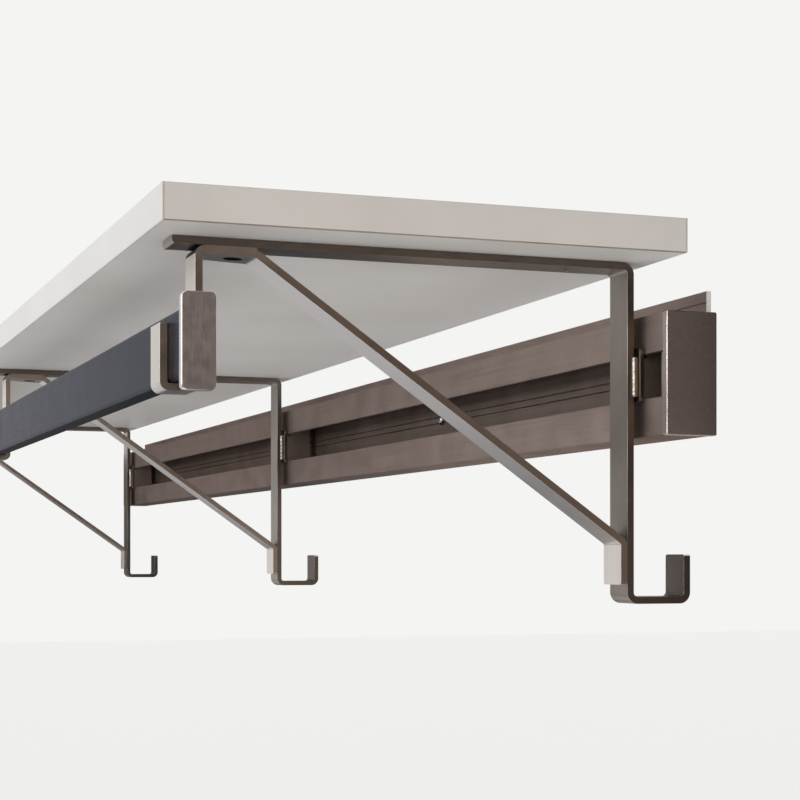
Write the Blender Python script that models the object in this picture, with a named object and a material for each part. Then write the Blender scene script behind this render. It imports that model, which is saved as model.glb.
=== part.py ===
"""Wall-hung laundry shelf with a hanging rod.

A laminate board lies on three flat-bar brackets. Each bracket hooks into an
aluminium track that is screwed to the wall, and its lower foot leans on the
wall. The brackets' front ends are bent into cradles that hold a rectangular
hanging rod.

Units are metres. +X is the end nearest the viewer, +Y points into the wall,
+Z is up. The wall is the plane y = 0, x = 0 is the middle of the shelf, and
z = 0 is level with the middle of the track's upper lip.
"""

import math

import bmesh
import bpy
from mathutils import Matrix, Vector

# Shared clearances and facet counts
SEAT_GAP = 0.0003
CUT_OVERRUN = 0.002
BEND_STEPS = 6
CORNER_STEPS = 4
ROUND_SIDES = 24
DOME_STEPS = 4

# Shelf board and its edge bands
BOARD_LENGTH = 1.524
BOARD_DEPTH = 0.292
BOARD_THICKNESS = 0.01905
BOARD_WALL_GAP = 0.023
BOARD_ABOVE_TRACK = 0.0306
EDGE_BAND_THICKNESS = 0.001

# Wall track, an open channel with a hanging flange at its top rear edge
TRACK_DEPTH = 0.031
LIP_HEIGHT = 0.02125
LIP_THICKNESS = 0.003
SLOT_HEIGHT = 0.0255
TRACK_WALL = 0.003
WEB_THICKNESS = 0.003
BACK_RECESS = 0.001
FLANGE_HEIGHT = 0.0126
FLANGE_THICKNESS = 0.003
FLANGE_WALL_GAP = 0.0008
FLANGE_LINE_RISE = 0.0062
FLANGE_LINE_WIDTH = 0.0008
FLANGE_LINE_DEPTH = 0.0006
DRILL_GROOVE_RISE = 0.0034
DRILL_GROOVE_WIDTH = 0.0052
DRILL_GROOVE_DEPTH = 0.0006

# Track end caps
TRACK_CAP_THICKNESS = 0.005
TRACK_CAP_SETBACK = 0.0088
TRACK_CAP_OVERLAP = 0.0003
TRACK_CAP_EDGE = 0.0008
TRACK_CAP_CORNER = 0.001
TRACK_PLUG_DEPTH = 0.008

# Bracket bars
BAR_WIDTH = 0.022
BAR_THICKNESS = 0.004
BEND_RADIUS = 0.0025
RIGHT_BRACKET_INSET = 0.0505
LEFT_BRACKET_INSET = 0.065
ARM_TIP_SETBACK = 0.014
ARM_TIP_CHAMFER = 0.0012
BRACKET_DROP = 0.1926
FOOT_PLATE_HEIGHT = 0.028
FOOT_CORNER = 0.0015
BRACE_TOP_SETBACK = 0.05775
BRACE_FOOT_DROP = 0.15775
BRACE_FOOT_END_DROP = 0.1818
ARM_SPARE_HOLE_REACH = 0.0366
ARM_SPARE_HOLE_RADIUS = 0.0019

# Clip that hooks the bracket into the track
CLIP_PAD_THICKNESS = 0.0014
CLIP_PAD_HEIGHT = 0.021
CLIP_PAD_CORNER = 0.0008
CLIP_EAR_THICKNESS = 0.0008
CLIP_EAR_REACH = 0.0012
CLIP_PLATE_THICKNESS = 0.0028
CLIP_PLATE_HEIGHT = 0.031
CLIP_PLATE_OVERHANG = 0.004
CLIP_PLATE_RISE = 0.0012
CLIP_CORNER = 0.003
CLIP_EDGE = 0.0006
HOOK_REACH = 0.022
HOOK_LIP_GAP = 0.0024
HOOK_BEHIND_GAP = 0.001
HOOK_TAB_RISE = 0.006
HOOK_CORNER = 0.006
HOOK_SIDE_SETBACK = 0.0004

# Hanging rod and its caps
ROD_WIDTH = 0.014
ROD_HEIGHT = 0.035
ROD_WALL = 0.0015
ROD_SETBACK = 0.012
ROD_DROP = 0.0412
ROD_CAP_SETBACK = 0.001
ROD_CAP_THICKNESS = 0.0055
ROD_CAP_WIDTH = 0.018
ROD_CAP_HEIGHT = 0.0494
ROD_CAP_CORNER = 0.003
ROD_CAP_EDGE = 0.001
ROD_PLUG_DEPTH = 0.012
CRADLE_LIP_HEIGHT = 0.031

# Screws
WALL_SCREW_SHARES = (-0.3871, -0.0794, 0.2242, 0.4377)
WALL_SCREW_RADIUS = 0.0022
WALL_SCREW_HEAD_RADIUS = 0.00425
WALL_SCREW_HEAD_HEIGHT = 0.0026
WALL_SCREW_IN_WALL = 0.038
WALL_SCREW_TIP = 0.006
SHELF_SCREW_SETBACK = 0.049
SHELF_SCREW_RADIUS = 0.0021
SHELF_SCREW_HEAD_RADIUS = 0.0038
SHELF_SCREW_HEAD_HEIGHT = 0.0024
SHELF_SCREW_IN_BOARD = 0.013
SHELF_SCREW_TIP = 0.004
SHELF_SCREW_ACCESS_RADIUS = 0.0043

# Heights and depths that follow from the sizes above
TRACK_HALF = SLOT_HEIGHT / 2 + LIP_HEIGHT
TRACK_CENTRE_Z = -(SLOT_HEIGHT + LIP_HEIGHT) / 2
TRACK_FRONT_Y = -TRACK_DEPTH
WEB_FRONT_Y = -(BACK_RECESS + WEB_THICKNESS)
BOARD_UNDERSIDE_Z = TRACK_CENTRE_Z + TRACK_HALF + BOARD_ABOVE_TRACK
BOARD_FRONT_Y = -(BOARD_WALL_GAP + BOARD_DEPTH)
UPRIGHT_REAR_Y = TRACK_FRONT_Y - CLIP_PLATE_THICKNESS - CLIP_PAD_THICKNESS - 2 * SEAT_GAP
ARM_UNDERSIDE_Z = BOARD_UNDERSIDE_Z - SEAT_GAP - BAR_THICKNESS
ROD_CENTRE_Y = BOARD_FRONT_Y + ROD_SETBACK + ROD_WIDTH / 2
ROD_CENTRE_Z = BOARD_UNDERSIDE_Z - ROD_DROP - ROD_HEIGHT / 2
CAP_INNER_X = BOARD_LENGTH / 2 - TRACK_CAP_SETBACK - TRACK_CAP_THICKNESS
ROD_END_X = BOARD_LENGTH / 2 - ROD_CAP_SETBACK - ROD_CAP_THICKNESS - SEAT_GAP
BRACKET_PLACES = {
    "right": BOARD_LENGTH / 2 - RIGHT_BRACKET_INSET,
    "middle": 0.0,
    "left": LEFT_BRACKET_INSET - BOARD_LENGTH / 2,
}
END_SIGNS = {"right": 1, "left": -1}


def clear_scene():
    """Remove every object of the opened file."""
    for obj in list(bpy.data.objects):
        bpy.data.objects.remove(obj, do_unlink=True)


def make_material(name, colour, metallic, roughness):
    """Return a Principled material of one colour."""
    material = bpy.data.materials.new(name)
    material.use_nodes = True
    shader = material.node_tree.nodes["Principled BSDF"]
    shader.inputs["Base Color"].default_value = (*colour, 1.0)
    shader.inputs["Metallic"].default_value = metallic
    shader.inputs["Roughness"].default_value = roughness
    return material


def add_empty(name, location, parent=None):
    """Add an empty that carries pieces, at a place given under its parent."""
    empty = bpy.data.objects.new(name, None)
    bpy.context.scene.collection.objects.link(empty)
    empty.location = location
    empty.parent = parent
    return empty


def add_piece(name, mesh, look, location=(0, 0, 0), parent=None):
    """Add one named piece with its own copy of a material."""
    piece = bpy.data.objects.new(name, mesh)
    bpy.context.scene.collection.objects.link(piece)
    piece.location = location
    piece.parent = parent
    material = make_material(f"{name}_material", *look)
    mesh.materials.clear()
    mesh.materials.append(material)
    return piece


def mesh_from(bm, name):
    """Turn a bmesh into a mesh whose faces point outwards."""
    bmesh.ops.recalc_face_normals(bm, faces=bm.faces)
    mesh = bpy.data.meshes.new(name)
    bm.to_mesh(mesh)
    bm.free()
    return mesh


def loft(name, loops):
    """Join loops of equal length into a closed shape, with both ends filled."""
    bm = bmesh.new()
    rings = [[bm.verts.new(point) for point in loop] for loop in loops]
    count = len(rings[0])
    for ring, following in zip(rings, rings[1:]):
        for i in range(count):
            j = (i + 1) % count
            bm.faces.new((ring[i], ring[j], following[j], following[i]))
    bm.faces.new(rings[0])
    bm.faces.new(list(reversed(rings[-1])))
    return mesh_from(bm, name)


def loop_across_x(outline, x, centre=(0, 0)):
    """Place an outline of (y, z) points at one x."""
    return [Vector((x, centre[0] + y, centre[1] + z)) for y, z in outline]


def loop_across_y(outline, y, centre=(0, 0)):
    """Place an outline of (x, z) points at one y."""
    return [Vector((centre[0] + x, y, centre[1] + z)) for x, z in outline]


def prism(name, outline, low_x, high_x):
    """Extrude an outline of (y, z) points along X."""
    return loft(name, [loop_across_x(outline, low_x), loop_across_x(outline, high_x)])


def box(name, low, high):
    """Return a closed block between two corners."""
    outline = [(low[1], low[2]), (high[1], low[2]), (high[1], high[2]), (low[1], high[2])]
    return prism(name, outline, low[0], high[0])


def arc(centre, radius, start_angle, end_angle, steps):
    """Return the points of an arc, both ends included."""
    angles = [start_angle + (end_angle - start_angle) * i / steps for i in range(steps + 1)]
    return [(centre[0] + radius * math.cos(a), centre[1] + radius * math.sin(a)) for a in angles]


def rounded_rectangle(width, height, radius):
    """Return a rectangle about (0, 0) with its four corners rounded."""
    points = []
    for corner, (side, level) in enumerate(((1, 1), (-1, 1), (-1, -1), (1, -1))):
        centre = (side * (width / 2 - radius), level * (height / 2 - radius))
        start = corner * math.pi / 2
        points += arc(centre, radius, start, start + math.pi / 2, CORNER_STEPS)
    return points


def soft_edge_steps(edge):
    """Return (depth from the face, inset) pairs that round a plate's edge."""
    return [(edge * (1 - math.cos(a)), edge * (1 - math.sin(a)))
            for a in (math.pi / 2 * i / CORNER_STEPS for i in range(CORNER_STEPS + 1))]


def bent_path(corners, inner_radius):
    """Follow a bar's middle line round its bends.

    Returns pairs of a point and the unit normal to the left of the path, with
    each inside corner rounded so that the bar's inner face keeps the radius.
    """
    corners = [Vector(corner) for corner in corners]
    middle_radius = inner_radius + BAR_THICKNESS / 2
    stations = []
    for i, corner in enumerate(corners):
        ahead = (corners[i + 1] - corner).normalized() if i + 1 < len(corners) else None
        behind = (corner - corners[i - 1]).normalized() if i else None
        if ahead is None or behind is None:
            direction = ahead or behind
            stations.append((corner, Vector((-direction.y, direction.x))))
            continue
        turn = behind.angle_signed(ahead)
        reach = middle_radius * math.tan(abs(turn) / 2)
        side = -math.copysign(1, turn)
        start_normal = Vector((-behind.y, behind.x))
        centre = corner - behind * reach + start_normal * middle_radius * side
        for step in range(BEND_STEPS + 1):
            angle = -turn * step / BEND_STEPS
            normal = Matrix.Rotation(angle, 2) @ start_normal
            stations.append((centre - normal * middle_radius * side, normal))
    return stations


def flat_bar(name, corners, inner_radius):
    """Make a flat bar that follows corners given as (y, z) points."""
    half = BAR_THICKNESS / 2
    bm = bmesh.new()
    sections = []
    for point, normal in bent_path(corners, inner_radius):
        left, right = point + normal * half, point - normal * half
        sections.append([bm.verts.new((x, p.x, p.y)) for x, p in (
            (-BAR_WIDTH / 2, left), (BAR_WIDTH / 2, left),
            (BAR_WIDTH / 2, right), (-BAR_WIDTH / 2, right))])
    for section, following in zip(sections, sections[1:]):
        for i in range(4):
            j = (i + 1) % 4
            bm.faces.new((section[i], section[j], following[j], following[i]))
    bm.faces.new(sections[0])
    bm.faces.new(list(reversed(sections[-1])))
    return mesh_from(bm, name)


def turned(bm, profile, place):
    """Add a shape turned about its own Z, from an outline of (radius, height)."""
    rings = []
    for radius, height in profile:
        if radius == 0:
            rings.append([bm.verts.new(place @ Vector((0, 0, height)))])
            continue
        angles = (2 * math.pi * i / ROUND_SIDES for i in range(ROUND_SIDES))
        rings.append([bm.verts.new(place @ Vector((radius * math.cos(a), radius * math.sin(a), height)))
                      for a in angles])
    for ring, following in zip(rings, rings[1:]):
        for i in range(ROUND_SIDES):
            j = (i + 1) % ROUND_SIDES
            corners = [ring[i % len(ring)], ring[j % len(ring)],
                       following[j % len(following)], following[i % len(following)]]
            bm.faces.new(list(dict.fromkeys(corners)))


def rod_cutter(radius, low, high, centre, axis="Z"):
    """Return a round cutter along Y or Z between two places on that axis."""
    bm = bmesh.new()
    tilt = Matrix.Rotation(-math.pi / 2, 4, "X") if axis == "Y" else Matrix.Identity(4)
    turned(bm, [(0, low), (radius, low), (radius, high), (0, high)], Matrix.Translation(centre) @ tilt)
    return mesh_from(bm, "cutter")


def combine(base, tools, operation):
    """Cut tools out of a mesh, or join them to it, and return one mesh."""
    holder = bpy.data.objects.new("holder", base)
    bpy.context.scene.collection.objects.link(holder)
    helpers = [holder]
    for mesh in tools:
        tool = bpy.data.objects.new("tool", mesh)
        tool.hide_render = True
        tool.display_type = "WIRE"
        bpy.context.scene.collection.objects.link(tool)
        helpers.append(tool)
        modifier = holder.modifiers.new("combine", "BOOLEAN")
        modifier.operation = operation
        modifier.solver = "EXACT"
        modifier.object = tool
    graph = bpy.context.evaluated_depsgraph_get()
    result = bpy.data.meshes.new_from_object(holder.evaluated_get(graph))
    for helper in helpers:
        bpy.data.objects.remove(helper, do_unlink=True)
    return result


def pan_head(radius, height):
    """Return the domed head of a screw, from its crown to its seat at height 0."""
    angles = [math.pi / 2 * i / DOME_STEPS for i in range(DOME_STEPS + 1)]
    return [(radius * math.sin(a), -height * math.cos(a)) for a in angles]


def screw_profile(radius, head_radius, head_height, length, tip):
    """Return a screw's outline, head first, with its seat at height 0."""
    return pan_head(head_radius, head_height) + [(radius, 0), (radius, length - tip), (0, length)]


def board_meshes():
    """Return the board's core, with its pilot holes, and its four edge bands."""
    trim = EDGE_BAND_THICKNESS + SEAT_GAP
    half_length, half_depth = BOARD_LENGTH / 2, BOARD_DEPTH / 2
    core = box("shelf_board", (-half_length + trim, -half_depth + trim, 0),
               (half_length - trim, half_depth - trim, BOARD_THICKNESS))
    pilot_depth = SHELF_SCREW_IN_BOARD + SEAT_GAP
    screw_y = SHELF_SCREW_SETBACK - half_depth
    holes = [rod_cutter(SHELF_SCREW_RADIUS + SEAT_GAP, -CUT_OVERRUN, pilot_depth, (x, screw_y, 0))
             for x in BRACKET_PLACES.values()]
    meshes = {"shelf_board": combine(core, holes, "DIFFERENCE")}
    band = EDGE_BAND_THICKNESS
    for name, low_y in (("front_edge_band", -half_depth), ("rear_edge_band", half_depth - band)):
        meshes[name] = box(name, (-half_length, low_y, 0), (half_length, low_y + band, BOARD_THICKNESS))
    for end, sign in END_SIGNS.items():
        low_x = sign * (half_length - band / 2) - band / 2
        meshes[f"{end}_edge_band"] = box(f"{end}_edge_band", (low_x, -half_depth + trim, 0),
                                         (low_x + band, half_depth - trim, BOARD_THICKNESS))
    return meshes


def track_outline():
    """Return the track's section as (y, z) points about its centre line."""
    top, slot = TRACK_HALF, SLOT_HEIGHT / 2
    inside_top = top - TRACK_WALL
    lip_rear = TRACK_FRONT_Y + LIP_THICKNESS
    groove_floor = WEB_FRONT_Y + DRILL_GROOVE_DEPTH
    groove_top = DRILL_GROOVE_RISE + DRILL_GROOVE_WIDTH / 2
    groove_bottom = DRILL_GROOVE_RISE - DRILL_GROOVE_WIDTH / 2
    line, half_line = top + FLANGE_LINE_RISE, FLANGE_LINE_WIDTH / 2
    flange_rear = -FLANGE_WALL_GAP
    flange_front = flange_rear - FLANGE_THICKNESS
    return [
        (0, -top), (0, -slot), (-BACK_RECESS, -slot), (-BACK_RECESS, slot), (0, slot),
        (0, top), (flange_rear, top), (flange_rear, top + FLANGE_HEIGHT),
        (flange_front, top + FLANGE_HEIGHT), (flange_front, line + half_line),
        (flange_front + FLANGE_LINE_DEPTH, line), (flange_front, line - half_line),
        (flange_front, top),
        (TRACK_FRONT_Y, top), (TRACK_FRONT_Y, slot), (lip_rear, slot), (lip_rear, inside_top),
        (WEB_FRONT_Y, inside_top), (WEB_FRONT_Y, groove_top), (groove_floor, groove_top),
        (groove_floor, groove_bottom), (WEB_FRONT_Y, groove_bottom), (WEB_FRONT_Y, -inside_top),
        (lip_rear, -inside_top), (lip_rear, -slot), (TRACK_FRONT_Y, -slot), (TRACK_FRONT_Y, -top),
    ]


def track_mesh():
    """Return the extruded track, drilled for its wall screws."""
    half_length = CAP_INNER_X - SEAT_GAP
    blank = prism("wall_track", track_outline(), -half_length, half_length)
    holes = [rod_cutter(WALL_SCREW_RADIUS + SEAT_GAP, WEB_FRONT_Y - CUT_OVERRUN, CUT_OVERRUN,
                        (share * BOARD_LENGTH, 0, DRILL_GROOVE_RISE), "Y") for share in WALL_SCREW_SHARES]
    return combine(blank, holes, "DIFFERENCE")


def track_cap_mesh(sign):
    """Return a track end cap whose plug points back into the channel."""
    depth = TRACK_DEPTH + TRACK_CAP_OVERLAP
    height = 2 * (TRACK_HALF + TRACK_CAP_OVERLAP)
    centre_y = -depth / 2
    loops = []
    for step_depth, inset in soft_edge_steps(TRACK_CAP_EDGE):
        outline = rounded_rectangle(depth - 2 * inset, height - 2 * inset, TRACK_CAP_CORNER)
        loops.append(loop_across_x(outline, sign * (TRACK_CAP_THICKNESS - step_depth), (centre_y, 0)))
    loops.append(loop_across_x(rounded_rectangle(depth, height, TRACK_CAP_CORNER), 0, (centre_y, 0)))
    plug_front = TRACK_FRONT_Y + LIP_THICKNESS + SEAT_GAP
    plug_rear = WEB_FRONT_Y - SEAT_GAP
    plug_height = 2 * (TRACK_HALF - TRACK_WALL - SEAT_GAP)
    plug = rounded_rectangle(plug_rear - plug_front, plug_height, TRACK_CAP_CORNER)
    plug_centre = ((plug_front + plug_rear) / 2, 0)
    loops.append(loop_across_x(plug, 0, plug_centre))
    loops.append(loop_across_x(plug, -sign * TRACK_PLUG_DEPTH, plug_centre))
    return loft("track_cap", loops)


def frame_mesh():
    """Return a bracket's frame: arm, upright and foot, bent from one bar."""
    half = BAR_THICKNESS / 2
    arm_z = ARM_UNDERSIDE_Z + half
    upright_y = UPRIGHT_REAR_Y - half
    foot_z = BOARD_UNDERSIDE_Z - BRACKET_DROP + half
    foot_top_z = BOARD_UNDERSIDE_Z - BRACKET_DROP + FOOT_PLATE_HEIGHT
    tip_y = BOARD_FRONT_Y + ARM_TIP_SETBACK
    corners = [(tip_y, arm_z), (upright_y, arm_z), (upright_y, foot_z), (-half, foot_z), (-half, foot_top_z)]
    blank = flat_bar("bracket_frame", corners, BEND_RADIUS)
    through = (ARM_UNDERSIDE_Z - CUT_OVERRUN, BOARD_UNDERSIDE_Z + CUT_OVERRUN)
    cutters = [
        rod_cutter(SHELF_SCREW_RADIUS + SEAT_GAP, *through, (0, BOARD_FRONT_Y + SHELF_SCREW_SETBACK, 0)),
        rod_cutter(ARM_SPARE_HOLE_RADIUS, *through, (0, UPRIGHT_REAR_Y - ARM_SPARE_HOLE_REACH, 0)),
        prism("cutter", [(tip_y - CUT_OVERRUN, ARM_UNDERSIDE_Z - CUT_OVERRUN),
                         (tip_y + ARM_TIP_CHAMFER + CUT_OVERRUN, ARM_UNDERSIDE_Z - CUT_OVERRUN),
                         (tip_y - CUT_OVERRUN, ARM_UNDERSIDE_Z + ARM_TIP_CHAMFER + CUT_OVERRUN)],
              -BAR_WIDTH, BAR_WIDTH),
    ]
    cutters += [corner_cutter(side, foot_top_z) for side in END_SIGNS.values()]
    return combine(blank, cutters, "DIFFERENCE")


def corner_cutter(side, top_z):
    """Return the waste that leaves a foot plate's upper corner round."""
    centre = (side * (BAR_WIDTH / 2 - FOOT_CORNER), top_z - FOOT_CORNER)
    round_part = arc(centre, FOOT_CORNER, 0 if side > 0 else math.pi, math.pi / 2, CORNER_STEPS)
    far_x, far_z = side * (BAR_WIDTH / 2 + CUT_OVERRUN), top_z + CUT_OVERRUN
    outline = [(far_x, round_part[0][1])] + round_part + [(round_part[-1][0], far_z), (far_x, far_z)]
    return loft("cutter", [loop_across_y(outline, -BAR_THICKNESS - CUT_OVERRUN),
                           loop_across_y(outline, CUT_OVERRUN)])


def cradle_floor_z():
    """Return the height of the cradle's floor, just under the rod."""
    return ROD_CENTRE_Z - ROD_HEIGHT / 2 - SEAT_GAP


def brace_mesh():
    """Return the bar that forms the rod's cradle, runs under the arm and braces it."""
    half = BAR_THICKNESS / 2
    reach = ROD_WIDTH / 2 + SEAT_GAP + half
    lip_y, strip_y = ROD_CENTRE_Y - reach, ROD_CENTRE_Y + reach
    floor_z = cradle_floor_z() - half
    flat_z = ARM_UNDERSIDE_Z - SEAT_GAP - half
    foot_y = UPRIGHT_REAR_Y - BAR_THICKNESS - SEAT_GAP - half
    corners = [
        (lip_y, cradle_floor_z() + CRADLE_LIP_HEIGHT), (lip_y, floor_z), (strip_y, floor_z),
        (strip_y, flat_z), (BOARD_FRONT_Y + BRACE_TOP_SETBACK, flat_z),
        (foot_y, BOARD_UNDERSIDE_Z - BRACE_FOOT_DROP), (foot_y, BOARD_UNDERSIDE_Z - BRACE_FOOT_END_DROP),
    ]
    blank = flat_bar("cradle_brace", corners, BEND_RADIUS)
    hole = rod_cutter(SHELF_SCREW_ACCESS_RADIUS, flat_z - half - CUT_OVERRUN, ARM_UNDERSIDE_Z,
                      (0, BOARD_FRONT_Y + SHELF_SCREW_SETBACK, 0))
    return combine(blank, [hole], "DIFFERENCE")


def clip_mesh():
    """Return the clip: an eared pad and a plate behind the upright, and a hook for the track."""
    slot = SLOT_HEIGHT / 2
    plate_rear = TRACK_FRONT_Y - SEAT_GAP
    plate_front = plate_rear - CLIP_PLATE_THICKNESS
    plate_width = BAR_WIDTH + 2 * CLIP_PLATE_OVERHANG
    loops = []
    for step_depth, inset in soft_edge_steps(CLIP_EDGE):
        outline = rounded_rectangle(plate_width - 2 * inset, CLIP_PLATE_HEIGHT - 2 * inset, CLIP_CORNER)
        loops.append(loop_across_y(outline, plate_front + step_depth, (0, CLIP_PLATE_RISE)))
    full = rounded_rectangle(plate_width, CLIP_PLATE_HEIGHT, CLIP_CORNER)
    loops.append(loop_across_y(full, plate_rear, (0, CLIP_PLATE_RISE)))
    plate = loft("track_clip", loops)
    pad_front = plate_front - CLIP_PAD_THICKNESS
    ear_inner_x = BAR_WIDTH / 2 + SEAT_GAP
    ear_outer_x = ear_inner_x + CLIP_EAR_THICKNESS
    pad_outline = rounded_rectangle(2 * ear_outer_x, CLIP_PAD_HEIGHT, CLIP_PAD_CORNER)
    pad = loft("pad", [loop_across_y(pad_outline, pad_front),
                       loop_across_y(pad_outline, plate_front + CLIP_PLATE_THICKNESS / 2)])
    ear_half_height = CLIP_PAD_HEIGHT / 2 - CLIP_PAD_CORNER
    ears = []
    for side in END_SIGNS.values():
        low_x, high_x = sorted((side * ear_inner_x, side * ear_outer_x))
        ears.append(box("ear", (low_x, UPRIGHT_REAR_Y - CLIP_EAR_REACH, -ear_half_height),
                        (high_x, pad_front + CLIP_PAD_THICKNESS / 2, ear_half_height)))
    hook_rear = TRACK_FRONT_Y + HOOK_REACH
    tab_front = TRACK_FRONT_Y + LIP_THICKNESS + HOOK_BEHIND_GAP
    hook_front = plate_rear - CLIP_PLATE_THICKNESS / 2
    floor_z = SEAT_GAP - slot
    corner = (hook_rear - HOOK_CORNER, floor_z + HOOK_CORNER)
    outline = [(hook_front, floor_z)] + arc(corner, HOOK_CORNER, -math.pi / 2, 0, BEND_STEPS) + [
        (hook_rear, slot + HOOK_TAB_RISE), (tab_front, slot + HOOK_TAB_RISE),
        (tab_front, slot - HOOK_LIP_GAP), (hook_front, slot - HOOK_LIP_GAP)]
    half_width = BAR_WIDTH / 2 - HOOK_SIDE_SETBACK
    hook = prism("hook", outline, -half_width, half_width)
    return combine(plate, [pad, hook] + ears, "UNION")


def rod_mesh():
    """Return the hollow rod about its own centre, open at both ends."""
    corner = BEND_RADIUS - SEAT_GAP
    outer = rounded_rectangle(ROD_WIDTH, ROD_HEIGHT, corner)
    inner = rod_bore_outline(0)
    bm = bmesh.new()
    ends = []
    for x in (-ROD_END_X, ROD_END_X):
        ends.append([[bm.verts.new(point) for point in loop_across_x(outline, x)]
                     for outline in (outer, inner)])
    count = len(outer)
    for i in range(count):
        j = (i + 1) % count
        for k in (0, 1):
            bm.faces.new((ends[0][k][i], ends[0][k][j], ends[1][k][j], ends[1][k][i]))
            bm.faces.new((ends[k][0][i], ends[k][0][j], ends[k][1][j], ends[k][1][i]))
    return mesh_from(bm, "hanging_rod")


def rod_bore_outline(clearance):
    """Return the outline of the rod's bore, drawn in by a clearance."""
    shrink = 2 * (ROD_WALL + clearance)
    corner = BEND_RADIUS - SEAT_GAP - ROD_WALL
    return rounded_rectangle(ROD_WIDTH - shrink, ROD_HEIGHT - shrink, corner)


def rod_cap_mesh(sign):
    """Return a rod cap whose plug points back into the rod."""
    loops = []
    steps = soft_edge_steps(ROD_CAP_EDGE)
    for step_depth, inset in steps:
        outline = rounded_rectangle(ROD_CAP_WIDTH - 2 * inset, ROD_CAP_HEIGHT - 2 * inset, ROD_CAP_CORNER)
        loops.append(loop_across_x(outline, sign * (ROD_CAP_THICKNESS - step_depth)))
    for step_depth, inset in reversed(steps):
        outline = rounded_rectangle(ROD_CAP_WIDTH - 2 * inset, ROD_CAP_HEIGHT - 2 * inset, ROD_CAP_CORNER)
        loops.append(loop_across_x(outline, sign * step_depth))
    plug = rod_bore_outline(SEAT_GAP)
    loops.append(loop_across_x(plug, 0))
    loops.append(loop_across_x(plug, -sign * ROD_PLUG_DEPTH))
    return loft("rod_cap", loops)


def screw_mesh(name, profile, turn=0):
    """Return one screw with its seat at its own origin, turned about X."""
    bm = bmesh.new()
    turned(bm, profile, Matrix.Rotation(turn, 4, "X"))
    return mesh_from(bm, name)


def wall_screw_mesh():
    """Return a screw that holds the track to the wall and points into it."""
    length = WALL_SCREW_IN_WALL + SEAT_GAP - WEB_FRONT_Y
    profile = screw_profile(WALL_SCREW_RADIUS, WALL_SCREW_HEAD_RADIUS, WALL_SCREW_HEAD_HEIGHT,
                            length, WALL_SCREW_TIP)
    return screw_mesh("wall_screw", profile, -math.pi / 2)


def shelf_screw_mesh():
    """Return a screw that goes up through an arm into the board."""
    length = BAR_THICKNESS + SEAT_GAP + SHELF_SCREW_IN_BOARD
    profile = screw_profile(SHELF_SCREW_RADIUS, SHELF_SCREW_HEAD_RADIUS, SHELF_SCREW_HEAD_HEIGHT,
                            length, SHELF_SCREW_TIP)
    return screw_mesh("shelf_screw", profile)


# Looks as (colour, metallic, roughness)
LAMINATE = ((0.75, 0.74, 0.73), 0.0, 0.5)
EDGE_WHITE = ((0.8, 0.8, 0.81), 0.0, 0.45)
NICKEL = ((0.42, 0.38, 0.35), 1.0, 0.38)
ANODISED = ((0.33, 0.29, 0.27), 1.0, 0.42)
SLATE = ((0.11, 0.12, 0.14), 0.8, 0.4)
ZINC = ((0.75, 0.76, 0.78), 1.0, 0.25)


def build_wall_part():
    """Add what stays on the wall: the track, its caps and its screws."""
    centre = (0, 0, TRACK_CENTRE_Z)
    wall = add_empty("wall_part", centre)
    add_piece("wall_track", track_mesh(), ANODISED, parent=wall)
    for end, sign in END_SIGNS.items():
        add_piece(f"{end}_track_cap", track_cap_mesh(sign), NICKEL, (sign * CAP_INNER_X, 0, 0), wall)
    for number, share in enumerate(WALL_SCREW_SHARES, 1):
        place = (share * BOARD_LENGTH, WEB_FRONT_Y - SEAT_GAP, DRILL_GROOVE_RISE)
        add_piece(f"wall_screw_{number}", wall_screw_mesh(), ZINC, place, wall)


def build_shelf_unit():
    """Add the board and brackets, which slide along the track as one."""
    unit = add_empty("shelf_slide", (0, 0, 0))
    board_centre = (0, BOARD_FRONT_Y + BOARD_DEPTH / 2, BOARD_UNDERSIDE_Z)
    for name, mesh in board_meshes().items():
        look = LAMINATE if name == "shelf_board" else EDGE_WHITE
        add_piece(name, mesh, look, board_centre, unit)
    for side, x in BRACKET_PLACES.items():
        bracket = add_empty(f"{side}_bracket", (x, 0, 0), unit)
        add_piece(f"{side}_bracket_frame", frame_mesh(), NICKEL, parent=bracket)
        add_piece(f"{side}_cradle_brace", brace_mesh(), NICKEL, parent=bracket)
        add_piece(f"{side}_track_clip", clip_mesh(), NICKEL, (0, 0, TRACK_CENTRE_Z), bracket)
        screw_place = (0, BOARD_FRONT_Y + SHELF_SCREW_SETBACK, ARM_UNDERSIDE_Z - SEAT_GAP)
        add_piece(f"{side}_shelf_screw", shelf_screw_mesh(), ZINC, screw_place, bracket)
    return unit


def build_rod(unit):
    """Add the hanging rod and its caps, which lift out of the cradles."""
    rod = add_empty("rod_lift", (0, ROD_CENTRE_Y, ROD_CENTRE_Z), unit)
    add_piece("hanging_rod", rod_mesh(), SLATE, parent=rod)
    for end, sign in END_SIGNS.items():
        place = (sign * (ROD_END_X + SEAT_GAP), 0, 0)
        add_piece(f"{end}_rod_cap", rod_cap_mesh(sign), NICKEL, place, rod)


def main():
    """Build the whole shelf."""
    clear_scene()
    build_wall_part()
    build_rod(build_shelf_unit())


main()
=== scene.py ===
"""Finish of a wall-hung laundry shelf with a hanging rod.

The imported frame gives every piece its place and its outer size. Here each piece
is modelled again with the edges, seams, threads and finish of the real one.

Units are metres. +X is the end nearest the viewer, +Y points to the rear and +Z
is up. The track is mounted on the plane y = 0.
"""

import logging
import math
from collections.abc import Callable, Iterable
from dataclasses import dataclass, field
from enum import Enum
from typing import Any

import bmesh
import bpy
from mathutils import Matrix, Vector

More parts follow.
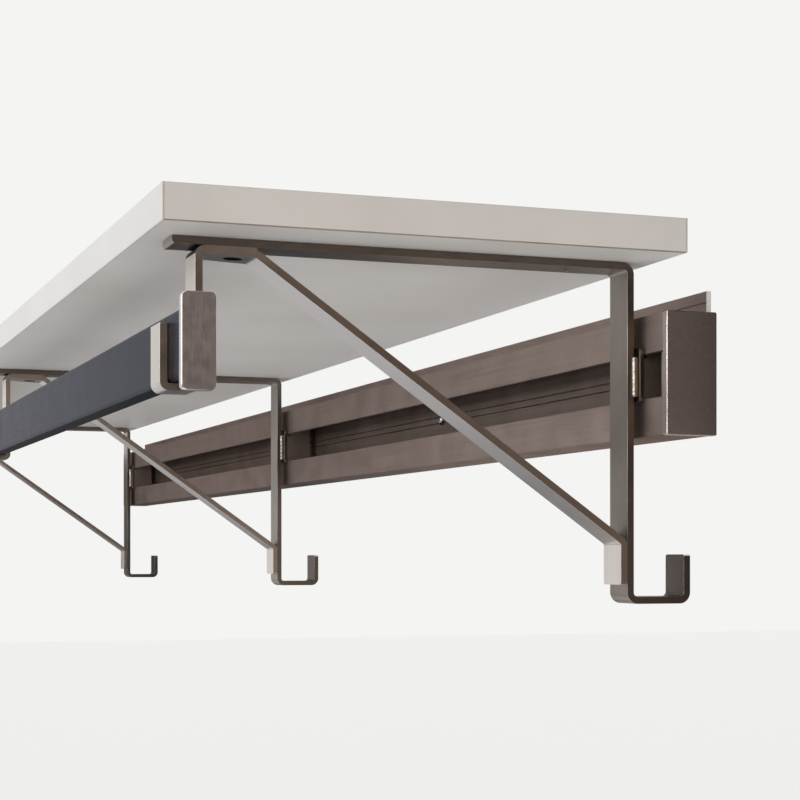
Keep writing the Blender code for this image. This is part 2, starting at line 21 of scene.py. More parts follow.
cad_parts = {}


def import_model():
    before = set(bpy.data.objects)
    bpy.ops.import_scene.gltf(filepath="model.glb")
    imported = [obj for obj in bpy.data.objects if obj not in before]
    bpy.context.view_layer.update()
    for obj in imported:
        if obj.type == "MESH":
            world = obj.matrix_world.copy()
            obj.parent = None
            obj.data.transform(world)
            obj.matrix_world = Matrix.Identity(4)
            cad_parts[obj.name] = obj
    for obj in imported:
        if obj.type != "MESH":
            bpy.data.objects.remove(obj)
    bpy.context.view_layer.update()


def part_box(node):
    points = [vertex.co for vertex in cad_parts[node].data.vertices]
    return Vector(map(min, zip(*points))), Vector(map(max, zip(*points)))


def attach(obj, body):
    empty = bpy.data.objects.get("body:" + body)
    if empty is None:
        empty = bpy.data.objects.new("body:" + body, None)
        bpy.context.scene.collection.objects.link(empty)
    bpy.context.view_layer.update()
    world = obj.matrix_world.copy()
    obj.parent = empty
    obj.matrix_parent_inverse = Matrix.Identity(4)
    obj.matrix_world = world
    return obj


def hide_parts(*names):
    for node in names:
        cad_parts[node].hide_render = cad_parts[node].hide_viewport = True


log = logging.getLogger("shelf")

MM = 0.001
# How far a cutter stands out of what it cuts
OVERRUN = 2 * MM
# How far apart two places may be and still count as one
NEAR = 0.05 * MM
MERGE_DISTANCE = 0.001 * MM
# The turns between faces that are shaded smooth, count as sharp, and count as a corner
SMOOTH_ANGLE = math.radians(32)
SHARP_ANGLE = math.radians(40)
CORNER_DEGREES = 60
# How far a face's normal points along an axis, from straight along it down to nearly across it
FLAT = 0.999
STRAIGHT = 0.97
FACING = 0.9
MOSTLY = 0.8
HALFWAY = 0.5
LEANING = 0.3
ASIDE = 0.15

Spot = tuple[float, float, float]
EdgeTest = Callable[[Vector, Vector], bool]
FaceTest = Callable[[Vector, Vector], bool]
Coat = tuple["Finish", FaceTest]


class Place(Enum):
    """A place along the shelf. The right end is the one nearest the viewer."""

    RIGHT = "right"
    MIDDLE = "middle"
    LEFT = "left"


ENDS = (Place.RIGHT, Place.LEFT)


class Grain(Enum):
    """The way brush or draw lines run on a metal piece, as a scale of each axis."""

    ALONG_X = (0.012, 1.0, 1.0)
    ALONG_BAR = (1.0, 0.02, 0.02)
    ALONG_Z = (1.0, 1.0, 0.1)


class Body(Enum):
    """The moving bodies that pieces ride on."""

    WALL = "wall_part"
    SHELF = "shelf_unit"
    ROD = "rod_unit"


@dataclass(frozen=True)
class Extent:
    """The lowest and highest corner of a node at rest."""

    low: Vector
    high: Vector

    @classmethod
    def of(cls, node: str) -> "Extent":
        """Return the extent of one of the frame's nodes."""
        low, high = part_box(node)
        return cls(Vector(low), Vector(high))

    @property
    def centre(self) -> Vector:
        """Return the middle of the extent."""
        return (self.low + self.high) / 2


def flush(first: float, second: float, level: float) -> bool:
    """Say whether both values lie at a level."""
    return abs(first - level) + abs(second - level) < NEAR


def between(low: float, values: Iterable[float], high: float) -> bool:
    """Say whether all values lie between two bounds."""
    return all(low - NEAR < value < high + NEAR for value in values)


def across_x(first: Vector, second: Vector) -> bool:
    """Say whether an edge lies across X, from its two ends."""
    return abs(first.x - second.x) < 2 * NEAR


def along_x(first: Vector, second: Vector) -> bool:
    """Say whether an edge runs along X, from its two ends."""
    return abs(first.x - second.x) > MM


def on_round(middle: Vector, normal: Vector) -> bool:
    """Say whether a face belongs to a round, from its normal."""
    return max(abs(part) for part in normal) < STRAIGHT


def linear_colour(hex_code: str) -> tuple[float, float, float, float]:
    """Turn an sRGB hex value into a linear colour.

    Args:
        hex_code: six hexadecimal digits, such as "c8c0ba".

    Returns:
        Red, green, blue and an alpha of 1.
    """
    channels = []
    for start in (0, 2, 4):
        value = int(hex_code[start:start + 2], 16) / 255
        channels.append(value / 12.92 if value <= 0.04045 else ((value + 0.055) / 1.055) ** 2.4)
    return (*channels, 1.0)


def add_node(tree: bpy.types.NodeTree, kind: str, settings: dict[str, Any] | None = None,
             values: dict[str | int, Any] | None = None,
             links: dict[str | int, bpy.types.NodeSocket] | None = None) -> bpy.types.Node:
    """Add a node with its settings, its socket values and the links into it.

    Args:
        tree: the node tree that takes the node.
        kind: the node's type name.
        settings: properties of the node.
        values: default values of its inputs.
        links: sockets that feed its inputs.

    Returns:
        The new node.
    """
    node = tree.nodes.new(kind)
    for name, value in (settings or {}).items():
        setattr(node, name, value)
    for name, value in (values or {}).items():
        node.inputs[name].default_value = value
    for name, socket in (links or {}).items():
        tree.links.new(socket, node.inputs[name])
    return node


@dataclass(frozen=True)
class Finish:
    """A surface finish. Each kind says how its nodes make its colour and relief."""

    name: str
    light: str
    dark: str
    metallic: float
    roughness: tuple[float, float]
    relief: float
    edge_tint: str = field(default="ffffff", kw_only=True)

    def material(self) -> bpy.types.Material:
        """Return the finish as a material, made once and then shared.

        Returns:
            The material with its whole node tree.
        """
        made = bpy.data.materials.get(self.name)
        if made:
            return made
        material = bpy.data.materials.new(self.name)
        material.use_nodes = True
        tree = material.node_tree
        shader = tree.nodes["Principled BSDF"]
        shader.inputs["Metallic"].default_value = self.metallic
        shader.inputs["Specular Tint"].default_value = linear_colour(self.edge_tint)
        place = add_node(tree, "ShaderNodeTexCoord").outputs["Object"]
        self.dress(tree, shader, place)
        return material

    def dress(self, tree: bpy.types.NodeTree, shader: bpy.types.Node, place: bpy.types.NodeSocket) -> None:
        """Add the finish's own nodes. Each kind of finish has its own."""
        raise NotImplementedError

    def blend(self, tree: bpy.types.NodeTree, shader: bpy.types.Node, amount: bpy.types.NodeSocket,
              height: bpy.types.NodeSocket) -> None:
        """Drive colour and roughness by one pattern and relief by another.

        Args:
            tree: the material's nodes.
            shader: its Principled shader.
            amount: 0 where the surface is dark and smooth, 1 where it is light and rough.
            height: the pattern that makes the relief.
        """
        colour = add_node(tree, "ShaderNodeMix", {"data_type": "RGBA"},
                          {6: linear_colour(self.dark), 7: linear_colour(self.light)}, {0: amount})
        rough = add_node(tree, "ShaderNodeMapRange",
                         values={"To Min": self.roughness[0], "To Max": self.roughness[1]},
                         links={"Value": amount})
        bump = add_node(tree, "ShaderNodeBump", values={"Strength": 1.0, "Distance": self.relief},
                        links={"Height": height})
        tree.links.new(colour.outputs[2], shader.inputs["Base Color"])
        tree.links.new(rough.outputs["Result"], shader.inputs["Roughness"])
        tree.links.new(bump.outputs["Normal"], shader.inputs["Normal"])


@dataclass(frozen=True)
class BrushedMetal(Finish):
    """Metal with fine parallel lines, from a brush, a belt or the extruder's die."""

    line_spacing: float
    cloud_size: float
    grain: Grain

    def dress(self, tree: bpy.types.NodeTree, shader: bpy.types.Node, place: bpy.types.NodeSocket) -> None:
        """Add brush lines and a faint cloudiness.

        Args:
            tree: the material's nodes.
            shader: its Principled shader.
            place: the object's own coordinates.
        """
        stretched = add_node(tree, "ShaderNodeMapping", values={"Scale": self.grain.value},
                             links={"Vector": place}).outputs["Vector"]
        lines = add_node(tree, "ShaderNodeTexNoise", values={"Scale": 1 / self.line_spacing, "Detail": 3.0},
                         links={"Vector": stretched}).outputs["Fac"]
        clouds = add_node(tree, "ShaderNodeTexNoise", values={"Scale": 1 / self.cloud_size, "Detail": 2.0},
                          links={"Vector": place}).outputs["Fac"]
        both = add_node(tree, "ShaderNodeMath", {"operation": "ADD"}, links={0: lines, 1: clouds}).outputs[0]
        amount = add_node(tree, "ShaderNodeMapRange", values={"From Min": 0.7, "From Max": 1.3},
                          links={"Value": both}).outputs["Result"]
        self.blend(tree, shader, amount, lines)


@dataclass(frozen=True)
class MottledMetal(Finish):
    """Metal with grainy, cloudy patches, from casting or bead blasting."""

    grain_size: float
    patch_size: float

    def dress(self, tree: bpy.types.NodeTree, shader: bpy.types.Node, place: bpy.types.NodeSocket) -> None:
        """Add blast grain over soft patches.

        Args:
            tree: the material's nodes.
            shader: its Principled shader.
            place: the object's own coordinates.
        """
        grain = add_node(tree, "ShaderNodeTexNoise", values={"Scale": 1 / self.grain_size, "Detail": 2.0},
                         links={"Vector": place}).outputs["Fac"]
        patch = add_node(tree, "ShaderNodeTexNoise", values={"Scale": 1 / self.patch_size, "Detail": 4.0},
                         links={"Vector": place}).outputs["Fac"]
        both = add_node(tree, "ShaderNodeMath", {"operation": "ADD"}, links={0: grain, 1: patch}).outputs[0]
        amount = add_node(tree, "ShaderNodeMapRange", values={"From Min": 0.75, "From Max": 1.25},
                          links={"Value": both}).outputs["Result"]
        self.blend(tree, shader, amount, grain)


@dataclass(frozen=True)
class PressedSheet(Finish):
    """A pressed or extruded plastic surface with a fine pebble and faint clouds."""

    pebble_size: float
    patch_size: float

    def dress(self, tree: bpy.types.NodeTree, shader: bpy.types.Node, place: bpy.types.NodeSocket) -> None:
        """Add the press plate's pebble and a faint unevenness of tone.

        Args:
            tree: the material's nodes.
            shader: its Principled shader.
            place: the object's own coordinates.
        """
        pebble = add_node(tree, "ShaderNodeTexVoronoi", {"feature": "SMOOTH_F1"},
                          {"Scale": 1 / self.pebble_size, "Smoothness": 1.0},
                          {"Vector": place}).outputs["Distance"]
        patch = add_node(tree, "ShaderNodeTexNoise", values={"Scale": 1 / self.patch_size, "Detail": 5.0},
                         links={"Vector": place}).outputs["Fac"]
        amount = add_node(tree, "ShaderNodeMapRange", values={"From Min": 0.35, "From Max": 0.65},
                          links={"Value": patch}).outputs["Result"]
        self.blend(tree, shader, amount, pebble)


# Melamine laminate on board, pressed against a fine matt plate: pale warm grey with a low sheen
LAMINATE = PressedSheet("melamine_laminate", "e2dfdc", "dcd8d4", 0.0, (0.36, 0.42), 0.004 * MM,
                        pebble_size=0.9 * MM, patch_size=120 * MM)
# ABS edge band, extruded and scraped flush: a little cooler and smoother than the laminate
EDGE_BAND = PressedSheet("abs_edge_band", "e6e5e5", "e0dfde", 0.0, (0.38, 0.46), 0.003 * MM,
                         pebble_size=1.2 * MM, patch_size=60 * MM)
# The same band on the ends, painted a little warmer as painted warm light
END_BAND_WARM_LIGHT = PressedSheet("abs_end_band_painted_warm_light", "eae7e4", "e4e1de", 0.0, (0.38, 0.46), 0.003 * MM,
                        pebble_size=1.2 * MM, patch_size=60 * MM)
# The band's body where its end was cut: a little warmer than its face
CUT_END = PressedSheet("abs_band_cut_end", "e0d2c4", "d9cbbc", 0.0, (0.5, 0.6), 0.004 * MM,
                       pebble_size=0.8 * MM, patch_size=15 * MM)
# The band's lower edge, scraped to the glue: a dull tan line
SCRAPED = PressedSheet("abs_band_scraped", "a39584", "938573", 0.0, (0.5, 0.6), 0.004 * MM,
                       pebble_size=0.8 * MM, patch_size=15 * MM)
# Cut face of the chipboard under glue: a thin brown line in each seam
GLUE_LINE = PressedSheet("chipboard_glue_line", "8a7460", "6e5a48", 0.0, (0.6, 0.8), 0.05 * MM,
                         pebble_size=1.0 * MM, patch_size=4 * MM)
# Satin nickel over belt-ground steel bar: fine lines along the bar, a warm grey
NICKEL = BrushedMetal("brushed_nickel_plate", "e4ddd7", "dcd5cf", 1.0, (0.27, 0.31), 0.0015 * MM,
                      line_spacing=1.1 * MM, cloud_size=25 * MM, grain=Grain.ALONG_BAR)
# The same plate over the bar's sheared edges, which are coarser and take less shine, and painted darker as
# painted shade
SHEARED_AND_SHADED = BrushedMetal("nickel_on_sheared_edge_and_painted_shade", "b0a399", "a2958b", 1.0, (0.33, 0.40), 0.002 * MM,
                       line_spacing=0.9 * MM, cloud_size=12 * MM, grain=Grain.ALONG_BAR)
# The frame's bar, painted darker on its faces as painted shade and darker still on its sides; the darker one
# also shades the clip's plate
FRAME_SHADE_NICKEL = BrushedMetal("nickel_with_painted_shade_on_frame", "aaa29b", "a09891", 1.0, (0.29, 0.34), 0.002 * MM,
                             line_spacing=1.2 * MM, cloud_size=25 * MM, grain=Grain.ALONG_BAR)
DEEP_SHADE_NICKEL = BrushedMetal("nickel_with_deep_painted_shade", "80766e", "746a62", 1.0, (0.33, 0.40), 0.002 * MM,
                           line_spacing=0.9 * MM, cloud_size=12 * MM, grain=Grain.ALONG_BAR)
# Rear faces, painted dull and dark as painted shade
PAINTED_SHADE_NICKEL = MottledMetal("nickel_with_painted_shade_behind_bar", "726863", "655c57", 1.0, (0.33, 0.40), 0.001 * MM,
                           grain_size=1.5 * MM, patch_size=12 * MM)
# The brace's foot front, painted paler and partly matt as painted light: it scatters light and looks paler
PAINTED_LIGHT_NICKEL = BrushedMetal("nickel_with_painted_light_on_foot", "efe8e3", "e6deda", 0.55, (0.30, 0.36), 0.0015 * MM,
                             line_spacing=1.1 * MM, cloud_size=25 * MM, grain=Grain.ALONG_BAR)
# Weld beads under the plate: bright, with soft ripples
WELD = MottledMetal("nickel_on_weld", "f0e8e0", "ded5cc", 1.0, (0.16, 0.24), 0.01 * MM,
                    grain_size=0.8 * MM, patch_size=3 * MM)
# Satin nickel over a zinc casting, tumbled and then brushed along its height
CAST_NICKEL = BrushedMetal("brushed_nickel_casting", "ded9dd", "cfcace", 1.0, (0.32, 0.40), 0.002 * MM,
                           line_spacing=0.9 * MM, cloud_size=5 * MM, grain=Grain.ALONG_Z)
# Satin nickel over a smooth moulding: even, with a soft sheen
SATIN_NICKEL = MottledMetal("satin_nickel_moulding", "cfc7c6", "c8c0bf", 1.0, (0.27, 0.29), 0.00002 * MM,
                            grain_size=3 * MM, patch_size=30 * MM)
# The plate on outer corners, which handling has polished, painted brighter as a painted highlight: a thin
# bright line
BURNISHED_AND_HIGHLIGHT = MottledMetal("burnished_nickel_edge_and_painted_highlight", "ece6e1", "e2dcd6", 1.0, (0.15, 0.18), 0.00001 * MM,
                         grain_size=4 * MM, patch_size=20 * MM)
# The hook's plate, left dull from the plating bath: pale, with soft clouds
DULL_NICKEL = MottledMetal("dull_nickel_plate", "e0d7d1", "d2c8c2", 1.0, (0.34, 0.42), 0.002 * MM,
                           grain_size=0.8 * MM, patch_size=8 * MM)
# The wall of a drilled hole and the notch where the bars meet, painted dark as painted shade
HOLE_SHADE = MottledMetal("painted_shade_in_hole", "2c2826", "1f1c1a", 0.6, (0.5, 0.6), 0.02 * MM,
                         grain_size=0.5 * MM, patch_size=3 * MM)
# Aluminium as the saw left it: pale and rough, and painted white as a painted highlight, so that it scatters
# light like chalk
SAWN_AND_HIGHLIGHT = MottledMetal("sawn_aluminium_and_painted_highlight", "f4f3f2", "e9e7e5", 0.0, (0.5, 0.6), 0.02 * MM,
                    grain_size=0.6 * MM, patch_size=2 * MM)
# Anodised aluminium extrusion, champagne grey: faint die lines along its length
ANODISED = BrushedMetal("anodised_aluminium_champagne", "c9b9b2", "b9aaa3", 1.0, (0.42, 0.48), 0.002 * MM,
                        line_spacing=0.9 * MM, cloud_size=30 * MM, grain=Grain.ALONG_X, edge_tint="6f6966")
# The same inside the channel, painted darker and duller as painted shade
CHANNEL_SHADE = BrushedMetal("anodised_aluminium_painted_shade_inside", "ab9d96", "9b8e87", 1.0, (0.40, 0.48), 0.003 * MM,
                       line_spacing=1.4 * MM, cloud_size=30 * MM, grain=Grain.ALONG_X, edge_tint="6f6966")
# Anodised aluminium tube, slate: fine brush lines, and a dyed layer that stays dark seen edge-on
SLATE = BrushedMetal("anodised_aluminium_slate", "6f717a", "64666e", 1.0, (0.26, 0.34), 0.0006 * MM,
                     line_spacing=1.0 * MM, cloud_size=25 * MM, grain=Grain.ALONG_X, edge_tint="a9a9ad")
# Zinc-plated steel screws: bright and slightly blue
ZINC = MottledMetal("zinc_plated_steel", "d8dade", "b9bbc0", 1.0, (0.20, 0.32), 0.01 * MM,
                    grain_size=0.4 * MM, patch_size=3 * MM)


class Workpiece:
    """One piece on the bench: a primitive that is shaped and then finished."""

    def __init__(self, obj: bpy.types.Object, flat_sides: bool = False) -> None:
        """Take a new primitive onto the bench.

        Args:
            obj: the primitive's object.
            flat_sides: whether its faces across X are shaded flat.
        """
        self.obj = obj
        self.flat_sides = flat_sides

    @classmethod
    def block(cls, name: str, low: Iterable[float], high: Iterable[float]) -> "Workpiece":
        """Start from a block between two corners.

        Args:
            name: the piece's name.
            low: its lowest corner.
            high: its highest corner.

        Returns:
            The block, with its place and size applied.
        """
        low, high = Vector(low), Vector(high)
        bpy.ops.object.select_all(action="DESELECT")
        bpy.ops.mesh.primitive_cube_add(size=1, location=(low + high) / 2, scale=high - low)
        return cls.named(name)

    @classmethod
    def bar(cls, name: str, radius: float, start: Iterable[float], end: Iterable[float],
            sides: int = 32) -> "Workpiece":
        """Start from a round bar between two points.

        Args:
            name: the piece's name.
            radius: its radius.
            start: the middle of one end.
            end: the middle of the other end.
            sides: how many sides the round has.

        Returns:
            The bar, with its place and size applied.
        """
        start, end = Vector(start), Vector(end)
        run = end - start
        bpy.ops.object.select_all(action="DESELECT")
        bpy.ops.mesh.primitive_cylinder_add(vertices=sides, radius=radius, depth=run.length,
                                            location=(start + end) / 2,
                                            rotation=run.to_track_quat("Z", "Y").to_euler())
        return cls.named(name)

    @classmethod
    def named(cls, name: str) -> "Workpiece":
        """Name the active primitive and apply its place, turn and size.

        Args:
            name: the piece's name.

        Returns:
            The primitive as a workpiece.
        """
        work = cls(bpy.context.object)
        work.rename(name)
        bpy.ops.object.transform_apply(location=True, rotation=True, scale=True)
        return work

    def rename(self, name: str) -> None:
        """Give the piece and its mesh a name."""
        self.obj.name = self.obj.data.name = name

    def hold(self) -> None:
        """Select this piece alone and make it active."""
        bpy.ops.object.select_all(action="DESELECT")
        self.obj.select_set(True)
        bpy.context.view_layer.objects.active = self.obj

    def edit(self) -> None:
        """Open the piece in edit mode with nothing selected."""
        self.hold()
        bpy.ops.object.mode_set(mode="EDIT")
        bpy.ops.mesh.select_mode(type="FACE")
        bpy.ops.mesh.select_all(action="DESELECT")

    def close(self) -> None:
        """Leave edit mode."""
        bpy.ops.object.mode_set(mode="OBJECT")

    def pick_faces(self, test: FaceTest) -> None:
        """Select faces by their middle and normal, in edit mode.

        Args:
            test: says of a middle and a normal whether the face is wanted.
        """
        mesh = bmesh.from_edit_mesh(self.obj.data)
        for face in mesh.faces:
            face.select_set(test(face.calc_center_median(), face.normal))
        bmesh.update_edit_mesh(self.obj.data)

    def pick_edges(self, test: EdgeTest) -> None:
        """Select edges by their two ends, in edit mode.

        Args:
            test: says of an edge's two ends whether the edge is wanted.
        """
        bpy.ops.mesh.select_mode(type="EDGE")
        mesh = bmesh.from_edit_mesh(self.obj.data)
        for edge in mesh.edges:
            edge.select_set(test(edge.verts[0].co, edge.verts[1].co))
        bmesh.update_edit_mesh(self.obj.data)

    def pick_end(self, point: Vector, direction: Vector) -> None:
        """Select the one face that looks along a direction and lies nearest to a point.

        Args:
            point: the place that the face is nearest to.
            direction: the way that it looks.
        """
        mesh = bmesh.from_edit_mesh(self.obj.data)
        facing = [face for face in mesh.faces if face.normal.dot(direction) > STRAIGHT]
        nearest = min(facing, key=lambda face: (face.calc_center_median() - point).length)
        for face in mesh.faces:
            face.select_set(face is nearest)
        bmesh.update_edit_mesh(self.obj.data)

    def extrude(self, move: Vector) -> None:
        """Extrude the picked faces by a move, in edit mode."""
        bpy.ops.mesh.extrude_region_move(TRANSFORM_OT_translate={"value": move})

    def bevel(self, radius: float, steps: int) -> None:
        """Round the picked edges, in edit mode."""
        bpy.ops.mesh.bevel(offset=radius, offset_type="OFFSET", segments=steps, profile=0.5,
                           affect="EDGES", clamp_overlap=True)

    def round_edges(self, radius: float, steps: int, test: EdgeTest) -> "Workpiece":
        """Round the edges that pass a test.

        Args:
            radius: the radius of the round.
            steps: how many facets it has.
            test: says of an edge's two ends whether it is wanted.

        Returns:
            The workpiece itself.
        """
        self.edit()
        self.pick_edges(test)
        self.bevel(radius, steps)
        self.close()
        return self

    def modify(self, kind: str, **settings: Any) -> "Workpiece":
        """Add a modifier with its settings and apply it.

        Args:
            kind: the modifier's type name.
            settings: its properties.

        Returns:
            The workpiece itself.
        """
        self.hold()
        modifier = self.obj.modifiers.new(kind.lower(), kind)
        for name, value in settings.items():
            setattr(modifier, name, value)
        bpy.ops.object.modifier_apply(modifier=modifier.name)
        return self

    def ease_sharp(self, radius: float, steps: int, keep: EdgeTest) -> "Workpiece":
        """Round every sharp edge, apart from those that a test keeps.

        Args:
            radius: the radius of the round.
            steps: how many facets it has.
            keep: says of an edge's two ends whether it stays sharp.

        Returns:
            The workpiece itself.
        """
        self.edit()
        bpy.ops.mesh.select_mode(type="EDGE")
        mesh = bmesh.from_edit_mesh(self.obj.data)
        for edge in mesh.edges:
            sharp = edge.calc_face_angle(0) > SHARP_ANGLE
            edge.select_set(sharp and not keep(edge.verts[0].co, edge.verts[1].co))
        bmesh.update_edit_mesh(self.obj.data)
        self.bevel(radius, steps)
        self.close()
        return self

    def score_across(self, point: Iterable[float], direction: Iterable[float]) -> "Workpiece":
        """Cut a line of edges across the piece with a plane, without parting it.

        Args:
            point: a point of the plane.
            direction: the plane's normal.

        Returns:
            The workpiece itself.
        """
        self.edit()
        bpy.ops.mesh.select_all(action="SELECT")
        bpy.ops.mesh.bisect(plane_co=Vector(point), plane_no=Vector(direction))
        self.close()
        return self

    def ease(self, radius: float, steps: int = 2, angle: float = 35) -> "Workpiece":
        """Break every sharp edge with a small round.

        Args:
            radius: how far the round reaches on each side.
            steps: how many facets it has.
            angle: the least turn, in degrees, that counts as sharp.

        Returns:
            The workpiece itself.
        """
        return self.modify("BEVEL", width=radius, segments=steps, limit_method="ANGLE",
                           angle_limit=math.radians(angle), use_clamp_overlap=True)

    def cut(self, *tools: "Workpiece") -> "Workpiece":
        """Cut other workpieces out of this one and clear them away."""
        return self.combine("DIFFERENCE", tools)

    def join(self, *others: "Workpiece") -> "Workpiece":
        """Unite other workpieces with this one into one body."""
        return self.combine("UNION", others)

    def combine(self, operation: str, tools: Iterable["Workpiece"]) -> "Workpiece":
        """Cut or unite other workpieces with this one, and clear them away.

        Args:
            operation: DIFFERENCE or UNION.
            tools: the other workpieces.

        Returns:
            The workpiece itself.
        """
        for tool in tools:
            self.modify("BOOLEAN", operation=operation, solver="EXACT", object=tool.obj)
            bpy.data.objects.remove(tool.obj, do_unlink=True)
        return self

    def copy(self, name: str, move: Iterable[float] = (0, 0, 0), flip: bool = False) -> "Workpiece":
        """Copy the piece, with a mesh of its own.

        Args:
            name: the copy's name.
            move: how far the copy is moved.
            flip: whether it is mirrored across x = 0 first.

        Returns:
            The copy as a workpiece.
        """
        self.hold()
        bpy.ops.object.duplicate(linked=False)
        made = Workpiece(bpy.context.object, self.flat_sides)
        made.rename(name)
        made.obj.location = Vector(move)
        made.obj.scale.x = -1 if flip else 1
        bpy.ops.object.transform_apply(location=True, rotation=True, scale=True)
        return made

    def paint(self, finish: Finish, *others: Coat) -> None:
        """Give the piece a finish, and other ones where their tests say so.

        Args:
            finish: the finish of most faces.
            others: each other finish, with a test of a face's middle and normal. The
                last one that passes counts.
        """
        self.obj.data.materials.append(finish.material())
        for number, (other, test) in enumerate(others, 1):
            self.obj.data.materials.append(other.material())
            for face in self.obj.data.polygons:
                if test(face.center, face.normal):
                    face.material_index = number

    def finished(self) -> bpy.types.Object:
        """Turn all faces outwards, set smooth and sharp edges, and hand the object over.

        Returns:
            The finished object, at the origin, unturned and unscaled.
        """
        self.edit()
        bpy.ops.mesh.select_all(action="SELECT")
        bpy.ops.mesh.remove_doubles(threshold=MERGE_DISTANCE)
        bpy.ops.mesh.normals_make_consistent(inside=False)
        self.close()
        bpy.ops.object.shade_smooth_by_angle(angle=SMOOTH_ANGLE)
        if self.flat_sides:
            self.edit()
            self.pick_faces(lambda middle, normal: abs(normal.x) > FLAT)
            bpy.ops.mesh.faces_shade_flat()
            self.close()
        self.modify("WEIGHTED_NORMAL", mode="FACE_AREA", weight=100, keep_sharp=True)
        return self.obj


@dataclass
class SubAssembly:
    """A group of pieces that ride on one body."""

    body: Body
    pieces: list[bpy.types.Object] = field(default_factory=list, init=False)

    def fit(self, work: Workpiece, node: str, slot: str) -> bpy.types.Object:
        """Finish a painted workpiece and put it in its node's place.

        Args:
            work: the shaped and painted piece.
            node: the frame's node that it stands for.
            slot: the name of its material slot; not used.

        Returns:
            The finished object.
        """
        piece = work.finished()
        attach(piece, self.body.value)
        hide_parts(node)
        self.pieces.append(piece)
        finish = piece.data.materials[0].name
        log.info("%s: %d faces, finish %s", piece.name, len(piece.data.polygons), finish)
        return piece


@dataclass
class ShelfBoard(SubAssembly):
    """The laminated board and its four edge bands."""

    seam: float = 0.22 * MM
    outer_round: float = 0.9 * MM
    round_steps: int = 4
    seam_round: float = 0.12 * MM
    pilot_radius: float = 2.4 * MM
    pilot_depth: float = 13.3 * MM
    scraped_below: float = -0.35

    def build(self) -> None:
        """Model and dress the board's core and its bands."""
        self.core()
        for word, outer in (("front", -1), ("rear", 1)):
            self.long_band(word, outer)
        for end in ENDS:
            self.end_band(end)
        whole = Extent.of("front_edge_band")
        log.info("board is %.1f mm long", (whole.high.x - whole.low.x) / MM)

    def core(self) -> None:
        """Model the core: laminated faces, and cut sides that show brown in the seams."""
        box = Extent.of("shelf_board")
        grow = Extent.of("right_edge_band").low.x - box.high.x - self.seam
        margin = Vector((grow, grow, 0))
        work = Workpiece.block("shelf_panel", box.low - margin, box.high + margin)
        holes = []
        for place in Place:
            screw = Extent.of(f"{place.value}_shelf_screw").centre
            holes.append(Workpiece.bar("pilot", self.pilot_radius, (screw.x, screw.y, box.low.z - OVERRUN),
                                       (screw.x, screw.y, box.low.z + self.pilot_depth)))
        work.cut(*holes)
        work.ease(self.seam_round)
        work.paint(LAMINATE, (GLUE_LINE, lambda middle, normal: abs(normal.z) < MOSTLY))
        self.fit(work, "shelf_board", "laminate")

    def long_band(self, word: str, outer: int) -> None:
        """Model a band along the front or the rear.

        Args:
            word: front or rear.
            outer: the direction along Y that the band faces.
        """
        node = f"{word}_edge_band"
        box = Extent.of(node)
        face_y = box.low.y if outer < 0 else box.high.y
        work = Workpiece.block(f"{word}_band_strip", box.low, box.high)
        work.round_edges(self.outer_round, self.round_steps, lambda a, b: flush(a.y, b.y, face_y))
        work.paint(EDGE_BAND, (CUT_END, lambda middle, normal: outer < 0 and abs(normal.x) > MOSTLY))
        self.fit(work, node, "edge_band")

    def end_band(self, end: Place) -> None:
        """Model the band across one end.

        Args:
            end: the end of the board that it covers.
        """
        node = f"{end.value}_edge_band"
        box = Extent.of(node)
        face_x = box.high.x if end is Place.RIGHT else box.low.x
        gap = Vector((0, Extent.of("rear_edge_band").low.y - box.high.y - self.seam, 0))
        work = Workpiece.block(f"{end.value}_band_strip", box.low - gap, box.high + gap)
        work.round_edges(self.outer_round, self.round_steps,
                         lambda a, b: flush(a.x, b.x, face_x) and abs(a.z - b.z) < NEAR)
        # The end bands are painted warmer as painted warm light, with the scraped tan line below
        work.paint(END_BAND_WARM_LIGHT, (SCRAPED, lambda middle, normal: normal.z < self.scraped_below))
        self.fit(work, node, "edge_band")


